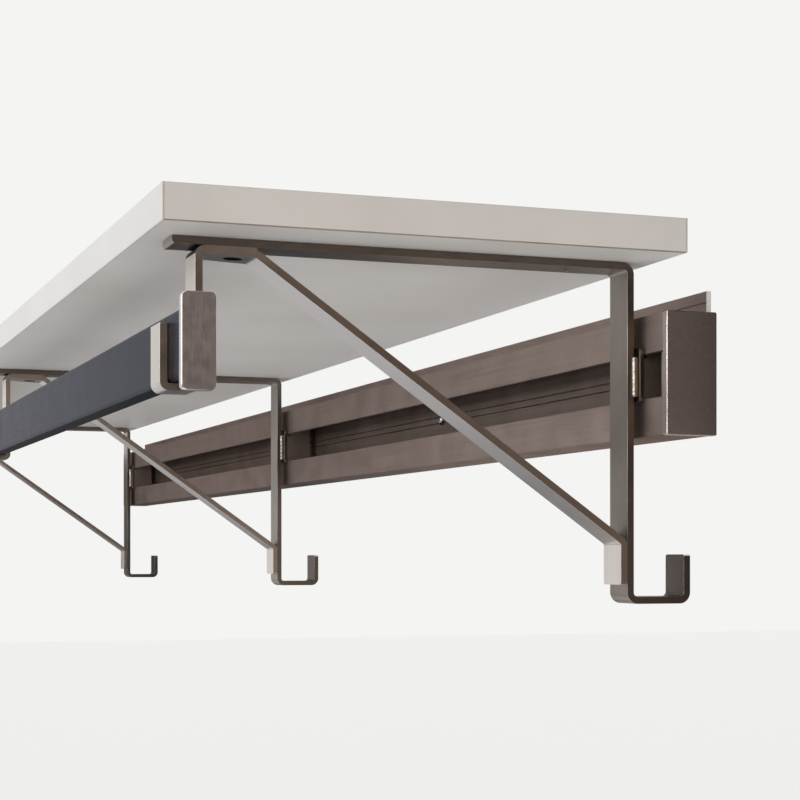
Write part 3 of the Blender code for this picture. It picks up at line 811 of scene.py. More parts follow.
@dataclass
class FlatBar:
    """A flat bar bent in the plane across X."""

    corners: list[tuple[float, float]]
    radii: list[float]
    middle_x: float
    width: float = 22 * MM
    thickness: float = 4 * MM
    steps: int = 12

    def build(self, name: str) -> Workpiece:
        """Bend the bar: the first run is a block, and each bend is spun and each run extruded.

        Args:
            name: the bar's name.

        Returns:
            The bent bar, with sharp edges.
        """
        points = [Vector((self.middle_x, y, z)) for y, z in self.corners]
        runs = [(b - a).normalized() for a, b in zip(points, points[1:])]
        bends = zip(runs, runs[1:], self.radii)
        reaches = [0.0] + [self.reach(a, b, radius) for a, b, radius in bends] + [0.0]
        work = self.first_run(name, points, runs[0], reaches[1])
        for i, (run, following) in enumerate(zip(runs, runs[1:])):
            start = points[i + 1] - run * reaches[i + 1]
            end = points[i + 1] + following * reaches[i + 1]
            self.bend(work, start, run, following, self.radii[i])
            work.edit()
            work.pick_end(end, following)
            straight = (points[i + 2] - points[i + 1]).length - reaches[i + 1] - reaches[i + 2]
            work.extrude(following * straight)
            work.close()
        return work

    def first_run(self, name: str, points: list[Vector], run: Vector, reach: float) -> Workpiece:
        """Add the block that is the bar's first straight run.

        Args:
            name: the bar's name.
            points: the corners that the bar's middle line bends at.
            run: the direction of the first run.
            reach: how far the first bend reaches into it.

        Returns:
            The block, with its place and size applied.
        """
        length = (points[1] - points[0]).length - reach
        bpy.ops.object.select_all(action="DESELECT")
        bpy.ops.mesh.primitive_cube_add(size=1, location=points[0] + run * length / 2,
                                        rotation=(math.atan2(run.z, run.y), 0, 0),
                                        scale=(self.width, length, self.thickness))
        return Workpiece.named(name)

    def reach(self, run: Vector, following: Vector, radius: float) -> float:
        """Return how far a bend of an inner radius reaches from its corner along each run."""
        return (radius + self.thickness / 2) * math.tan(run.angle(following) / 2)

    def bend(self, work: Workpiece, start: Vector, run: Vector, following: Vector, radius: float) -> None:
        """Spin the bar's end face round one bend.

        Args:
            work: the bar so far.
            start: the middle of the end face.
            run: the direction before the bend.
            following: the direction after it.
            radius: the bend's inner radius.
        """
        turn = math.atan2(run.cross(following).x, run.dot(following))
        inward = Vector((1, 0, 0)).cross(run) * math.copysign(1, turn)
        centre = start + inward * (radius + self.thickness / 2)
        steps = max(2, round(self.steps * abs(turn) / (math.pi / 2)))
        work.edit()
        work.pick_end(start, run)
        bpy.ops.mesh.spin(steps=steps, angle=-turn, center=centre, axis=(1, 0, 0))
        work.close()


@dataclass
class WeldBead:
    """An upright weld bead: a round bar swollen in ripples, with round ends."""

    radius: float = 1.3 * MM
    half_length: float = 11.2 * MM
    sides: int = 20
    ripples: int = 10
    core_share: float = 0.85
    shoulder_place: float = 0.2
    shoulder_swell: float = 1.12
    crest_swell: float = 1.22
    crest_change: float = 0.05
    crest_kinds: int = 3
    depth_stretch: float = 1.3
    end_round: float = 0.5 * MM

    def build(self, middle: Vector) -> Workpiece:
        """Model the bead.

        Args:
            middle: the bead's middle.

        Returns:
            The bead.
        """
        half_run = Vector((0, 0, self.half_length))
        work = Workpiece.bar("bead", self.radius * self.core_share, middle - half_run, middle + half_run,
                             self.sides)
        rings = self.rings(middle.z - self.half_length)
        for height, _ in rings:
            work.score_across((0, 0, height), (0, 0, 1))
        for height, swell in rings:
            work.edit()
            work.pick_edges(lambda a, b: flush(a.z, b.z, height))
            bpy.ops.transform.resize(value=(swell, swell, 1), center_override=(middle.x, middle.y, height))
            work.close()
        work.edit()
        bpy.ops.mesh.select_all(action="SELECT")
        bpy.ops.transform.resize(value=(1, self.depth_stretch, 1), center_override=middle)
        work.close()
        return work.ease(self.end_round, 3, CORNER_DEGREES)

    def rings(self, foot_z: float) -> list[tuple[float, float]]:
        """Return the rings that make the ripples.

        Args:
            foot_z: the height of the bead's lower end.

        Returns:
            Each ring's height and how much it swells.
        """
        pitch = 2 * self.half_length / self.ripples
        rings = []
        for i in range(self.ripples):
            low = foot_z + i * pitch
            crest = self.crest_swell - self.crest_change * (i % self.crest_kinds)
            rings += [(low + self.shoulder_place * pitch, self.shoulder_swell), (low + 0.5 * pitch, crest),
                      (low + (1 - self.shoulder_place) * pitch, self.shoulder_swell)]
        return rings


@dataclass
class TrackClip:
    """The clip behind an upright: a plate and pad welded to the bar, and the hook in the track."""

    bar_rear: float
    seat: float
    half_bar: float = 11 * MM
    middle_z: float = -23.375 * MM
    plate_thickness: float = 2.8 * MM
    plate_below: float = 14.3 * MM
    plate_above: float = 16.7 * MM
    plate_corner: float = 3 * MM
    plate_ease: float = 0.5 * MM
    overlap: float = 1.4 * MM
    pad_inset: float = 0.3 * MM
    pad_reach: float = 10.5 * MM
    bead_offset: float = 0.8 * MM
    bead_sink: float = 0.3 * MM
    bead_inset: float = 0.2 * MM
    bead_reach: float = 12.5 * MM
    hook_half_width: float = 10.6 * MM
    hook_below: float = 12.45 * MM
    hook_above: float = 10.35 * MM
    hook_round: float = 9 * MM
    tab_depth: float = 4 * MM

    def build(self, name: str) -> Workpiece:
        """Model and plate the clip.

        Args:
            name: the piece's name.

        Returns:
            The clip as one body.
        """
        box = Extent.of("right_track_clip")
        track = Extent.of("wall_track")
        middle = box.centre.x
        plate_rear = track.low.y - self.seat
        plate_front = plate_rear - self.plate_thickness
        plate = Workpiece.block(name, (box.low.x, plate_front, self.middle_z - self.plate_below),
                                (box.high.x, plate_rear, self.middle_z + self.plate_above))
        plate.round_edges(self.plate_corner, 6, lambda a, b: across_x(a, b) and abs(a.z - b.z) < NEAR)
        plate.ease(self.plate_ease, 3)
        half_pad = self.half_bar - self.pad_inset
        pad = Workpiece.block(
            "pad", (middle - half_pad, plate_front - self.overlap, self.middle_z - self.pad_reach),
            (middle + half_pad, plate_front + self.overlap, self.middle_z + self.pad_reach))
        bead_x, bead_y = self.half_bar + self.bead_offset, self.bar_rear + self.bead_sink
        beads = [WeldBead().build(Vector((middle + side * bead_x, bead_y, self.middle_z)))
                 for side in (-1, 1)]
        left, right = middle - self.hook_half_width, middle + self.hook_half_width
        hook = Workpiece.block("hook", (left, plate_rear - self.overlap, self.middle_z - self.hook_below),
                               (right, box.high.y, self.middle_z + self.hook_above))
        tab = Workpiece.block("tab", (left, track.low.y + self.tab_depth, self.middle_z),
                              (right, box.high.y, box.high.z))
        hook.round_edges(self.hook_round, 10, lambda a, b: (
            flush(a.y, b.y, box.high.y) and max(a.z, b.z) < self.middle_z))
        plate.join(pad, hook, tab, *beads)

        def welded(point: Vector, normal: Vector) -> bool:
            """Say whether a face belongs to a weld bead.

            Args:
                point: the face's middle.
                normal: its normal; not used.

            Returns:
                Whether it lies in front of the plate and beside the bar.
            """
            beside = abs(point.x - middle) > self.half_bar - self.bead_inset
            return point.y < plate_front - NEAR and beside and abs(point.z - self.middle_z) < self.bead_reach

        # The plate is painted dark nickel as painted shade
        plate.paint(DEEP_SHADE_NICKEL, (WELD, welded),
                    (DULL_NICKEL, lambda point, normal: point.y > plate_rear + 2 * NEAR))
        return plate


@dataclass
class Screw:
    """A zinc-plated pan-head screw with a cross recess and a coarse thread."""

    seat: Vector
    direction: Vector
    radius: float
    head_radius: float
    head_height: float
    length: float
    tip: float
    pitch: float = 1.6 * MM
    thread_depth: float = 0.45 * MM
    plain_length: float = 3 * MM
    tip_share: float = 0.06
    ridge_share: float = 0.3
    dome_steps: int = 6
    crown_steps: float = 0.6
    dome_fullness: float = 0.8
    recess_reach: float = 0.52
    recess_width: float = 0.11
    recess_depth: float = 0.62

    def build(self, name: str) -> Workpiece:
        """Model the screw along Z, then turn it to its place.

        Args:
            name: the piece's name.

        Returns:
            The screw as one body, plated.
        """
        core = self.radius - self.thread_depth
        shank = self.length - self.tip
        work = Workpiece.bar(name, core, (0, 0, 0), (0, 0, shank))
        up, down = Vector((0, 0, 1)), Vector((0, 0, -1))
        work.edit()
        work.pick_end(Vector((0, 0, shank)), up)
        work.extrude(up * self.tip)
        bpy.ops.transform.resize(value=(self.tip_share, self.tip_share, 1),
                                 center_override=(0, 0, self.length))
        work.pick_end(Vector((0, 0, 0)), down)
        bpy.ops.mesh.extrude_region_move()
        bpy.ops.transform.resize(value=(self.head_radius / core,) * 2 + (1,), center_override=(0, 0, 0))
        self.dome(work, down)
        work.close()
        for low, high in self.thread_rings():
            self.add_ridge(work, low, high)
        self.recess(work)
        turn = up.rotation_difference(self.direction).to_matrix().to_4x4()
        work.obj.matrix_world = Matrix.Translation(self.seat) @ turn
        work.hold()
        bpy.ops.object.transform_apply(location=True, rotation=True, scale=True)
        work.paint(ZINC)
        return work

    def dome(self, work: Workpiece, down: Vector) -> None:
        """Raise the head's dome in rings, from its rim to its crown, in edit mode.

        Args:
            work: the screw so far, with the face under its head picked.
            down: the direction from the seat to the crown.
        """
        height, radius = 0.0, self.head_radius
        for step in range(1, self.dome_steps + 1):
            angle = math.pi / 2 * step / (self.dome_steps + self.crown_steps)
            next_height = self.head_height * math.sin(angle)
            next_radius = self.head_radius * math.cos(angle) ** self.dome_fullness
            work.extrude(down * (next_height - height))
            bpy.ops.transform.resize(value=(next_radius / radius, next_radius / radius, 1),
                                     center_override=(0, 0, -next_height))
            height, radius = next_height, next_radius

    def thread_rings(self) -> list[tuple[float, float]]:
        """Return where the thread's ridges stand along the shank.

        Returns:
            The start and end of each ridge.
        """
        count = int((self.length - self.tip - self.plain_length) / self.pitch)
        start = self.plain_length
        return [(start + i * self.pitch, start + (i + 1) * self.pitch) for i in range(count)]

    def add_ridge(self, work: Workpiece, low: float, high: float) -> None:
        """Raise one ridge of the thread: the shank is bisected three times and the middle ring swollen.

        Args:
            work: the screw so far.
            low: where the ridge starts.
            high: where it ends.
        """
        middle = (low + high) / 2
        half = (high - low) * self.ridge_share
        for height in (middle - half, middle, middle + half):
            work.score_across((0, 0, height), (0, 0, 1))
        work.edit()
        work.pick_edges(lambda a, b: flush(a.z, b.z, middle))
        swell = self.radius / (self.radius - self.thread_depth)
        bpy.ops.transform.resize(value=(swell, swell, 1), center_override=(0, 0, middle))
        work.close()

    def recess(self, work: Workpiece) -> None:
        """Cut the cross recess into the head.

        Args:
            work: the screw so far.
        """
        reach, half_slot = self.head_radius * self.recess_reach, self.head_radius * self.recess_width
        depth = self.head_height * self.recess_depth
        for size in ((reach, half_slot), (half_slot, reach)):
            work.cut(Workpiece.block("bit", (-size[0], -size[1], -self.head_height - OVERRUN),
                                     (size[0], size[1], depth - self.head_height)))


@dataclass
class Bracket(SubAssembly):
    """A bent frame, the brace with its cradle, the clip and the screw into the board."""

    bar_thickness: float = 4 * MM
    bar_ease: float = 0.28 * MM
    ease_steps: int = 3
    tip_chamfer: float = 1.2 * MM
    foot_corner: float = 1.5 * MM
    corner_steps: int = 5
    foot_plate_height: float = 28 * MM
    lip_height: float = 31 * MM
    brace_top_setback: float = 57.75 * MM
    brace_foot_drop: float = 157.75 * MM
    frame_bend: float = 2.5 * MM
    brace_bend: float = 1.0 * MM
    knee_bend: float = 5.0 * MM
    knee_drop: float = 1.3 * MM
    knee_shift: float = 1.8 * MM
    fillet_reach: float = 2.2 * MM
    notch_depth: float = 8.8 * MM
    seat: float = 0.3 * MM
    seam: float = 0.02 * MM
    arm_hole_radius: float = 2.4 * MM
    access_radius: float = 5.2 * MM
    spare_radius: float = 1.9 * MM
    spare_reach: float = 36.6 * MM
    screw_radius: float = 2.1 * MM
    screw_head_radius: float = 3.8 * MM
    screw_head_height: float = 2.4 * MM
    screw_tip: float = 4 * MM

    def build(self) -> None:
        """Model the right bracket's pieces once and copy them to the other two places."""
        clip = TrackClip(self.upright_rear, self.seat)
        models = {
            "bracket_frame": (self.frame_bar(), "nickel", "frame_bar"),
            "cradle_brace": (self.brace_bar(), "nickel", "brace_bar"),
            "track_clip": (clip.build("clip_plate"), "nickel", "clip_plate"),
            "shelf_screw": (self.screw(), "zinc_screw", "board_screw"),
        }
        for node, (model, slot, word) in models.items():
            home = Extent.of(f"right_{node}").centre.x
            works = {Place.RIGHT: model}
            for place in (Place.MIDDLE, Place.LEFT):
                shift = Extent.of(f"{place.value}_{node}").centre.x - home
                works[place] = model.copy(f"{place.value}_{word}", (shift, 0, 0))
            model.rename(f"right_{word}")
            for place, work in works.items():
                self.fit(work, f"{place.value}_{node}", slot)

    @property
    def upright_rear(self) -> float:
        """Return the y of the upright's rear face."""
        return Extent.of("right_cradle_brace").high.y + self.seat + self.bar_thickness

    def frame_bar(self) -> Workpiece:
        """Bend the frame and drill it.

        Returns:
            The frame with its holes, tip chamfer, foot corners and eased edges.
        """
        box = Extent.of("right_bracket_frame")
        half = self.bar_thickness / 2
        upright, wall = self.upright_rear - half, box.high.y - half
        top = box.low.z + self.foot_plate_height
        corners = [(box.low.y, box.high.z - half), (upright, box.high.z - half), (upright, box.low.z + half),
                   (wall, box.low.z + half), (wall, top)]
        work = FlatBar(corners, [self.frame_bend] * 3, box.centre.x).build("frame_bar")
        work.round_edges(self.tip_chamfer, 1, lambda a, b: (
            flush(a.y, b.y, box.low.y) and max(a.z, b.z) < box.high.z - half))
        work.round_edges(self.foot_corner, self.corner_steps,
                         lambda a, b: flush(a.z, b.z, top) and across_x(a, b))
        underside, front = box.high.z - self.bar_thickness, self.upright_rear - self.bar_thickness
        screw = Extent.of("right_shelf_screw").centre
        holes = [(screw.y, self.arm_hole_radius), (self.upright_rear - self.spare_reach, self.spare_radius)]
        for y, radius in holes:
            work.cut(Workpiece.bar("drill", radius, (box.centre.x, y, underside - OVERRUN),
                                   (box.centre.x, y, box.high.z + OVERRUN)))
        near_y, far_y, high_z, low_z = self.joints()
        far_y += self.fillet_reach
        for y in (near_y - self.brace_bend - self.bar_thickness, near_y, far_y):
            work.score_across((0, y, 0), (0, 1, 0))
        for z in (high_z, low_z):
            work.score_across((0, 0, z), (0, 0, 1))
        work.ease_sharp(self.bar_ease, self.ease_steps, lambda a, b: across_x(a, b) and (
            (flush(a.z, b.z, underside) and between(near_y, (a.y, b.y), far_y))
            or (flush(a.y, b.y, front) and between(low_z, (a.z, b.z), high_z))))
        # The frame's rear faces are painted dark as painted shade
        rear = self.upright_rear - 2 * NEAR
        # The frame's faces and sides are painted darker as painted shade
        return self.dress_bar(work, FRAME_SHADE_NICKEL, DEEP_SHADE_NICKEL, (PAINTED_SHADE_NICKEL, lambda middle, normal: (
            middle.y > rear and abs(normal.x) <= ASIDE and normal.z > -LEANING)))

    def dress_bar(self, work: Workpiece, plate: Finish, edge: Finish, *others: Coat) -> Workpiece:
        """Plate a bar: its rolled faces, its sheared sides painted darker as painted shade, its worn corners
        painted brighter as a painted highlight, and its hole and notch painted dark as painted shade.

        Args:
            work: the shaped bar.
            plate: the finish of its rolled faces.
            edge: the finish of its sheared sides, painted darker as painted shade.
            others: further finishes, each with the test of its faces.

        Returns:
            The workpiece itself.
        """
        screw = Extent.of("right_shelf_screw").centre
        board_z = Extent.of("shelf_board").low.z
        notch_front = Extent.of("hanging_rod").high.y + self.seat
        notch_rear = notch_front + self.brace_bend + self.bar_thickness
        hole_reach = self.access_radius + 2 * NEAR

        def in_painted_shade(middle: Vector, normal: Vector) -> bool:
            """Say whether a face lies in the head's hole or in the notch where the bars meet.

            Args:
                middle: the face's middle.
                normal: its normal.

            Returns:
                Whether it is painted dark as painted shade.
            """
            in_hole = (middle.xy - screw.xy).length < hole_reach and abs(normal.z) < HALFWAY
            in_notch = (notch_front + self.seam < middle.y < notch_rear
                        and board_z - self.notch_depth < middle.z < board_z - self.bar_thickness + self.seam
                        and abs(normal.x) < FACING)
            return in_hole or in_notch

        work.flat_sides = True
        # Faces across X take the edge finish, painted darker as painted shade
        work.paint(plate, (edge, lambda middle, normal: abs(normal.x) > FACING),
                   # Rounds between the faces and the sides are painted brighter: polish and a painted
                   # highlight
                   (BURNISHED_AND_HIGHLIGHT, lambda middle, normal: ASIDE < abs(normal.x) <= FACING),
                   # The hole's wall and the notch are painted dark as painted shade
                   (HOLE_SHADE, in_painted_shade), *others)
        return work

    def joints(self) -> tuple[float, float, float, float]:
        """Return where the brace lies flat on the frame.

        Returns:
            The first and last y of the joint under the arm, and the highest and
            lowest z of the joint in front of the upright.
        """
        box = Extent.of("right_cradle_brace")
        rod = Extent.of("hanging_rod")
        half = self.bar_thickness / 2
        inset = self.bar_thickness + half
        top_y = Extent.of("front_edge_band").low.y + self.brace_top_setback + self.knee_shift
        foot_z = Extent.of("shelf_board").low.z - self.brace_foot_drop
        lean = math.atan2(self.brace_foot_drop - inset - self.knee_drop, self.upright_rear - inset - top_y)
        near_y = rod.high.y + self.seat + self.brace_bend + self.bar_thickness
        far_y = top_y - (self.knee_bend + half) * math.tan(lean / 2)
        high_z = foot_z - (self.brace_bend + half) * math.tan((math.pi / 2 - lean) / 2)
        return near_y, far_y, high_z, box.low.z

    def brace_bar(self) -> Workpiece:
        """Bend the brace round the rod and drill it for the screw's head.

        Returns:
            The brace with its hole and eased edges.
        """
        box = Extent.of("right_cradle_brace")
        rod = Extent.of("hanging_rod")
        half = self.bar_thickness / 2
        lip_y = box.low.y + half
        strip_y = rod.high.y + self.seat + half
        floor_z = rod.low.z - self.seat - half
        flat_z = box.high.z + self.seat - self.seam - half
        foot_y = box.high.y + self.seat - self.seam - half
        top_y = Extent.of("front_edge_band").low.y + self.brace_top_setback + self.knee_shift
        corners = [(lip_y, floor_z + half + self.lip_height), (lip_y, floor_z), (strip_y, floor_z),
                   (strip_y, flat_z), (top_y, flat_z - self.knee_drop),
                   (foot_y, Extent.of("shelf_board").low.z - self.brace_foot_drop), (foot_y, box.low.z)]
        radii = [self.brace_bend] * 3 + [self.knee_bend, self.brace_bend]
        work = FlatBar(corners, radii, box.centre.x).build("brace_bar")
        near_y, far_y, high_z, _ = self.joints()
        fillet_y = far_y + self.fillet_reach
        work.join(Workpiece.block("fillet", (box.low.x, near_y, flat_z - half / 2),
                                  (box.high.x, fillet_y, flat_z + half)))
        screw = Extent.of("right_shelf_screw").centre
        work.cut(Workpiece.bar("drill", self.access_radius, (box.centre.x, screw.y, flat_z - half - OVERRUN),
                               (box.centre.x, screw.y, flat_z + half + OVERRUN)))
        work.round_edges(self.foot_corner, self.corner_steps,
                         lambda a, b: flush(a.z, b.z, box.low.z) and across_x(a, b))
        work.ease_sharp(self.bar_ease, self.ease_steps, lambda a, b: (
            between(flat_z, (a.z, b.z), flat_z + half) and between(near_y, (a.y, b.y), fillet_y))
            or (flush(a.y, b.y, foot_y + half) and across_x(a, b)))
        return self.dress_bar(
            # The brace's sheared sides are painted darker as painted shade
            work, NICKEL, SHEARED_AND_SHADED,
            # The foot's front is painted paler as painted light
            (PAINTED_LIGHT_NICKEL, lambda middle, normal: middle.z < high_z and normal.y < -FACING),
            # The knee's rear faces are painted dark as painted shade
            (PAINTED_SHADE_NICKEL, lambda middle, normal: (
                middle.y > far_y and middle.z > high_z and normal.y > LEANING)))

    def screw(self) -> Workpiece:
        """Model the screw that goes up through the arm into the board.

        Returns:
            The screw.
        """
        box = Extent.of("right_shelf_screw")
        seat = Vector((box.centre.x, box.centre.y, box.low.z + self.screw_head_height))
        return Screw(seat, Vector((0, 0, 1)), self.screw_radius, self.screw_head_radius,
                     self.screw_head_height, box.high.z - seat.z, self.screw_tip).build("screw")


@dataclass
class WallTrack(SubAssembly):
    """The extruded track, its end caps and the screws that hold it to the wall."""

    lip_height: float = 21.25 * MM
    lip_thickness: float = 3 * MM
    slot_height: float = 25.5 * MM
    wall: float = 3 * MM
    web: float = 3 * MM
    back_recess: float = 1 * MM
    flange_height: float = 12.6 * MM
    flange_thickness: float = 3 * MM
    flange_gap: float = 0.8 * MM
    flange_line_rise: float = 6.2 * MM
    line_width: float = 0.8 * MM
    groove_rise: float = 3.4 * MM
    groove_spacing: float = 4.6 * MM
    hole_radius: float = 2.5 * MM
    ease_radius: float = 0.3 * MM
    cap_corner: float = 1 * MM
    cap_edge: float = 0.7 * MM
    plug_margin: float = 3.6 * MM
    plug_overlap: float = 1 * MM
    seat: float = 0.3 * MM
    screw_count: int = 4
    screw_radius: float = 2.2 * MM
    screw_head_radius: float = 4.25 * MM
    screw_head_height: float = 2.6 * MM
    screw_tip: float = 6 * MM
    screw_pitch: float = 1.8 * MM
    screw_plain_length: float = 4 * MM

    def build(self) -> None:
        """Model and dress the track, its caps and its screws."""
        self.extrusion()
        cap = self.cap_blank()
        left = cap.copy("left_plug_cap", flip=True)
        cap.rename("right_plug_cap")
        self.fit(cap, "right_track_cap", "nickel")
        self.fit(left, "left_track_cap", "nickel")
        self.screws()

    def extrusion(self) -> None:
        """Model the extrusion from a solid block: flange raised, channel, slot and grooves cut."""
        box = Extent.of("wall_track")
        half_slot = self.slot_height / 2
        middle = box.low.z + self.lip_height + half_slot
        top = middle + half_slot + self.lip_height
        long_low, long_high = box.low.x - OVERRUN, box.high.x + OVERRUN
        work = Workpiece.block("track_extrusion", box.low, (box.high.x, 0, top))
        flange_rear = -self.flange_gap
        flange_front = flange_rear - self.flange_thickness
        for y in (flange_front, flange_rear):
            work.score_across((0, y, 0), (0, 1, 0))
        work.edit()
        work.pick_faces(lambda point, normal: normal.z > FACING and flange_front < point.y < flange_rear)
        work.extrude(Vector((0, 0, self.flange_height)))
        work.close()
        web_front = -(self.back_recess + self.web)
        lip_rear = box.low.y + self.lip_thickness
        inside = half_slot + self.lip_height - self.wall
        cutters = [("channel", lip_rear, web_front, inside),
                   ("slot", box.low.y - OVERRUN, lip_rear + OVERRUN, half_slot),
                   ("recess", -self.back_recess, OVERRUN, half_slot)]
        work.cut(*[Workpiece.block(name, (long_low, front, middle - half), (long_high, rear, middle + half))
                   for name, front, rear, half in cutters])
        work.ease(self.ease_radius)
        groove_z, half_spacing = middle + self.groove_rise, self.groove_spacing / 2
        lines = [(web_front, groove_z - half_spacing), (web_front, groove_z + half_spacing),
                 (flange_front, top + self.flange_line_rise)]
        work.cut(*[self.score_tool(long_low, long_high, y, z) for y, z in lines])
        for number in range(1, self.screw_count + 1):
            screw = Extent.of(f"wall_screw_{number}").centre
            work.cut(Workpiece.bar("drill", self.hole_radius, (screw.x, web_front - OVERRUN, screw.z),
                                   (screw.x, OVERRUN, screw.z)))
        # Inside the channel is painted darker as painted shade
        work.paint(ANODISED, (CHANNEL_SHADE, lambda point, normal: point.y > lip_rear - 2 * NEAR
                              and abs(point.z - middle) < inside + 2 * NEAR),
                   # The sawn ends are painted white as a painted highlight
                   (SAWN_AND_HIGHLIGHT, lambda point, normal: abs(normal.x) > FACING))
        self.fit(work, "wall_track", "track_aluminium")

    def score_tool(self, low_x: float, high_x: float, y: float, z: float) -> Workpiece:
        """Make a square cutter stood on its edge, for a line scored along the track.

        Args:
            low_x: where it starts.
            high_x: where it ends.
            y: the face that it scores.
            z: the line's height.

        Returns:
            The cutter.
        """
        bpy.ops.object.select_all(action="DESELECT")
        side = self.line_width / math.sqrt(2)
        bpy.ops.mesh.primitive_cube_add(size=1, location=((low_x + high_x) / 2, y, z),
                                        rotation=(math.pi / 4, 0, 0), scale=(high_x - low_x, side, side))
        return Workpiece.named("score")

    def cap_blank(self) -> Workpiece:
        """Model the right end cap: a plate with rounded edges and a plug for the channel.

        Returns:
            The cap as one body.
        """
        box = Extent.of("right_track_cap")
        track = Extent.of("wall_track")
        inner_x = track.high.x + self.seat
        work = Workpiece.block("cap", (inner_x, box.low.y, box.low.z), box.high)
        work.round_edges(self.cap_corner, 4, along_x)
        work.round_edges(self.cap_edge, 4, lambda a, b: flush(a.x, b.x, box.high.x))
        plug_front = track.low.y + self.lip_thickness + self.seat
        plug_rear = -(self.back_recess + self.web) - self.seat
        plug = Workpiece.block("plug", (box.low.x, plug_front, box.low.z + self.plug_margin),
                               (inner_x + self.plug_overlap, plug_rear, box.high.z - self.plug_margin))
        plug.round_edges(self.cap_corner, 3, along_x)
        work.join(plug)
        # Rounds are painted brighter: polish and a painted highlight
        work.paint(SATIN_NICKEL, (BURNISHED_AND_HIGHLIGHT, on_round))
        return work

    def screws(self) -> None:
        """Model one wall screw and copy it to the other three places."""
        box = Extent.of("wall_screw_1")
        seat = Vector((box.centre.x, box.low.y + self.screw_head_height, box.centre.z))
        model = Screw(seat, Vector((0, 1, 0)), self.screw_radius, self.screw_head_radius,
                      self.screw_head_height, box.high.y - seat.y, self.screw_tip, pitch=self.screw_pitch,
                      plain_length=self.screw_plain_length).build("wall_screw")
        works = [model]
        for number in range(2, self.screw_count + 1):
            shift = Extent.of(f"wall_screw_{number}").centre.x - box.centre.x
            works.append(model.copy(f"track_screw_{number}", (shift, 0, 0)))
        model.rename("track_screw_1")
        for number, work in enumerate(works, 1):
            self.fit(work, f"wall_screw_{number}", "zinc_screw")


@dataclass
class HangingRod(SubAssembly):
    """The rectangular tube and its two caps."""

    wall: float = 1.5 * MM
    corner: float = 2.2 * MM
    corner_steps: int = 6
    end_ease: float = 0.1 * MM
    cap_corner: float = 3 * MM
    cap_edge: float = 0.8 * MM
    plug_overlap: float = 1 * MM
    seat: float = 0.3 * MM

    def build(self) -> None:
        """Model and dress the rod and its caps."""
        box = Extent.of("hanging_rod")
        tube = self.rounded_block("rod_tube", box.low, box.high, self.corner)
        inset = Vector((-OVERRUN, self.wall, self.wall))
        tube.cut(self.rounded_block("bore", box.low + inset, box.high - inset, self.corner - self.wall))
        tube.ease(self.end_ease, 1, CORNER_DEGREES)
        tube.paint(SLATE)
        self.fit(tube, "hanging_rod", "rod_aluminium")
        cap = self.cap_blank(box)
        left = cap.copy("left_end_cap", flip=True)
        cap.rename("right_end_cap")
        self.fit(cap, "right_rod_cap", "nickel")
        self.fit(left, "left_rod_cap", "nickel")

    def rounded_block(self, name: str, low: Vector, high: Vector, radius: float) -> Workpiece:
        """Return a block between two corners, its edges along X rounded to a radius."""
        return Workpiece.block(name, low, high).round_edges(radius, self.corner_steps, along_x)

    def cap_blank(self, rod: Extent) -> Workpiece:
        """Model the right rod cap: a rounded plate and its plug.

        Args:
            rod: the rod's extent.

        Returns:
            The cap as one body.
        """
        box = Extent.of("right_rod_cap")
        inner_x = rod.high.x + self.seat
        work = self.rounded_block("rod_cap", Vector((inner_x, *box.low.yz)), box.high, self.cap_corner)
        work.ease(self.cap_edge, 4, CORNER_DEGREES)
        margin = self.wall + self.seat
        plug_low = Vector((box.low.x, rod.low.y + margin, rod.low.z + margin))
        plug_high = Vector((inner_x + self.plug_overlap, rod.high.y - margin, rod.high.z - margin))
        plug = self.rounded_block("plug", plug_low, plug_high, self.corner - self.wall)
        work.join(plug)
        # Rounds are painted brighter: polish and a painted highlight
        work.paint(CAST_NICKEL, (BURNISHED_AND_HIGHLIGHT, on_round))
        return work


@dataclass(frozen=True)
class Lamp:
    """A soft rectangular lamp. Its colour is linear."""

    name: str
    place: Spot
    target: Spot
    size: tuple[float, float]
    watts: float
    colour: Spot

    def build(self) -> None:
        """Add the lamp and turn it to its target."""
        data = bpy.data.lights.new(self.name, "AREA")
        data.shape = "RECTANGLE"
        data.size, data.size_y = self.size
        data.energy = self.watts
        data.color = self.colour
        lamp = bpy.data.objects.new(self.name, data)
        bpy.context.scene.collection.objects.link(lamp)
        lamp.location = self.place
        aim = Vector(self.target) - Vector(self.place)
        lamp.rotation_euler = aim.to_track_quat("-Z", "Y").to_euler()


class Turn(Enum):
    """The way a card faces, as its turn about each axis in degrees."""

    ALONG_Y = (90, 0, 0)
    ALONG_X = (90, 0, 90)
    UP = (0, 0, 0)


@dataclass(frozen=True)
class Card:
    """A grey card beside the set, which only reflections show. Its colour is an sRGB hex value."""

    name: str
    place: Spot
    size: tuple[float, float]
    turn: Turn
    colour: str

    def build(self) -> None:
        """Stand the card in its place, with an even glow of its colour."""
        bpy.ops.object.select_all(action="DESELECT")
        rotation = [math.radians(angle) for angle in self.turn.value]
        bpy.ops.mesh.primitive_plane_add(size=1, location=self.place, rotation=rotation)
        card = bpy.context.object
        card.scale = (*self.size, 1)
        card.name = self.name
        material = bpy.data.materials.new(self.name)
        material.use_nodes = True
        shader = material.node_tree.nodes["Principled BSDF"]
        shader.inputs["Base Color"].default_value = (0, 0, 0, 1)
        shader.inputs["Specular IOR Level"].default_value = 0
        shader.inputs["Emission Color"].default_value = linear_colour(self.colour)
        shader.inputs["Emission Strength"].default_value = 1
        card.data.materials.append(material)
        card.visible_camera = card.visible_diffuse = card.visible_shadow = False


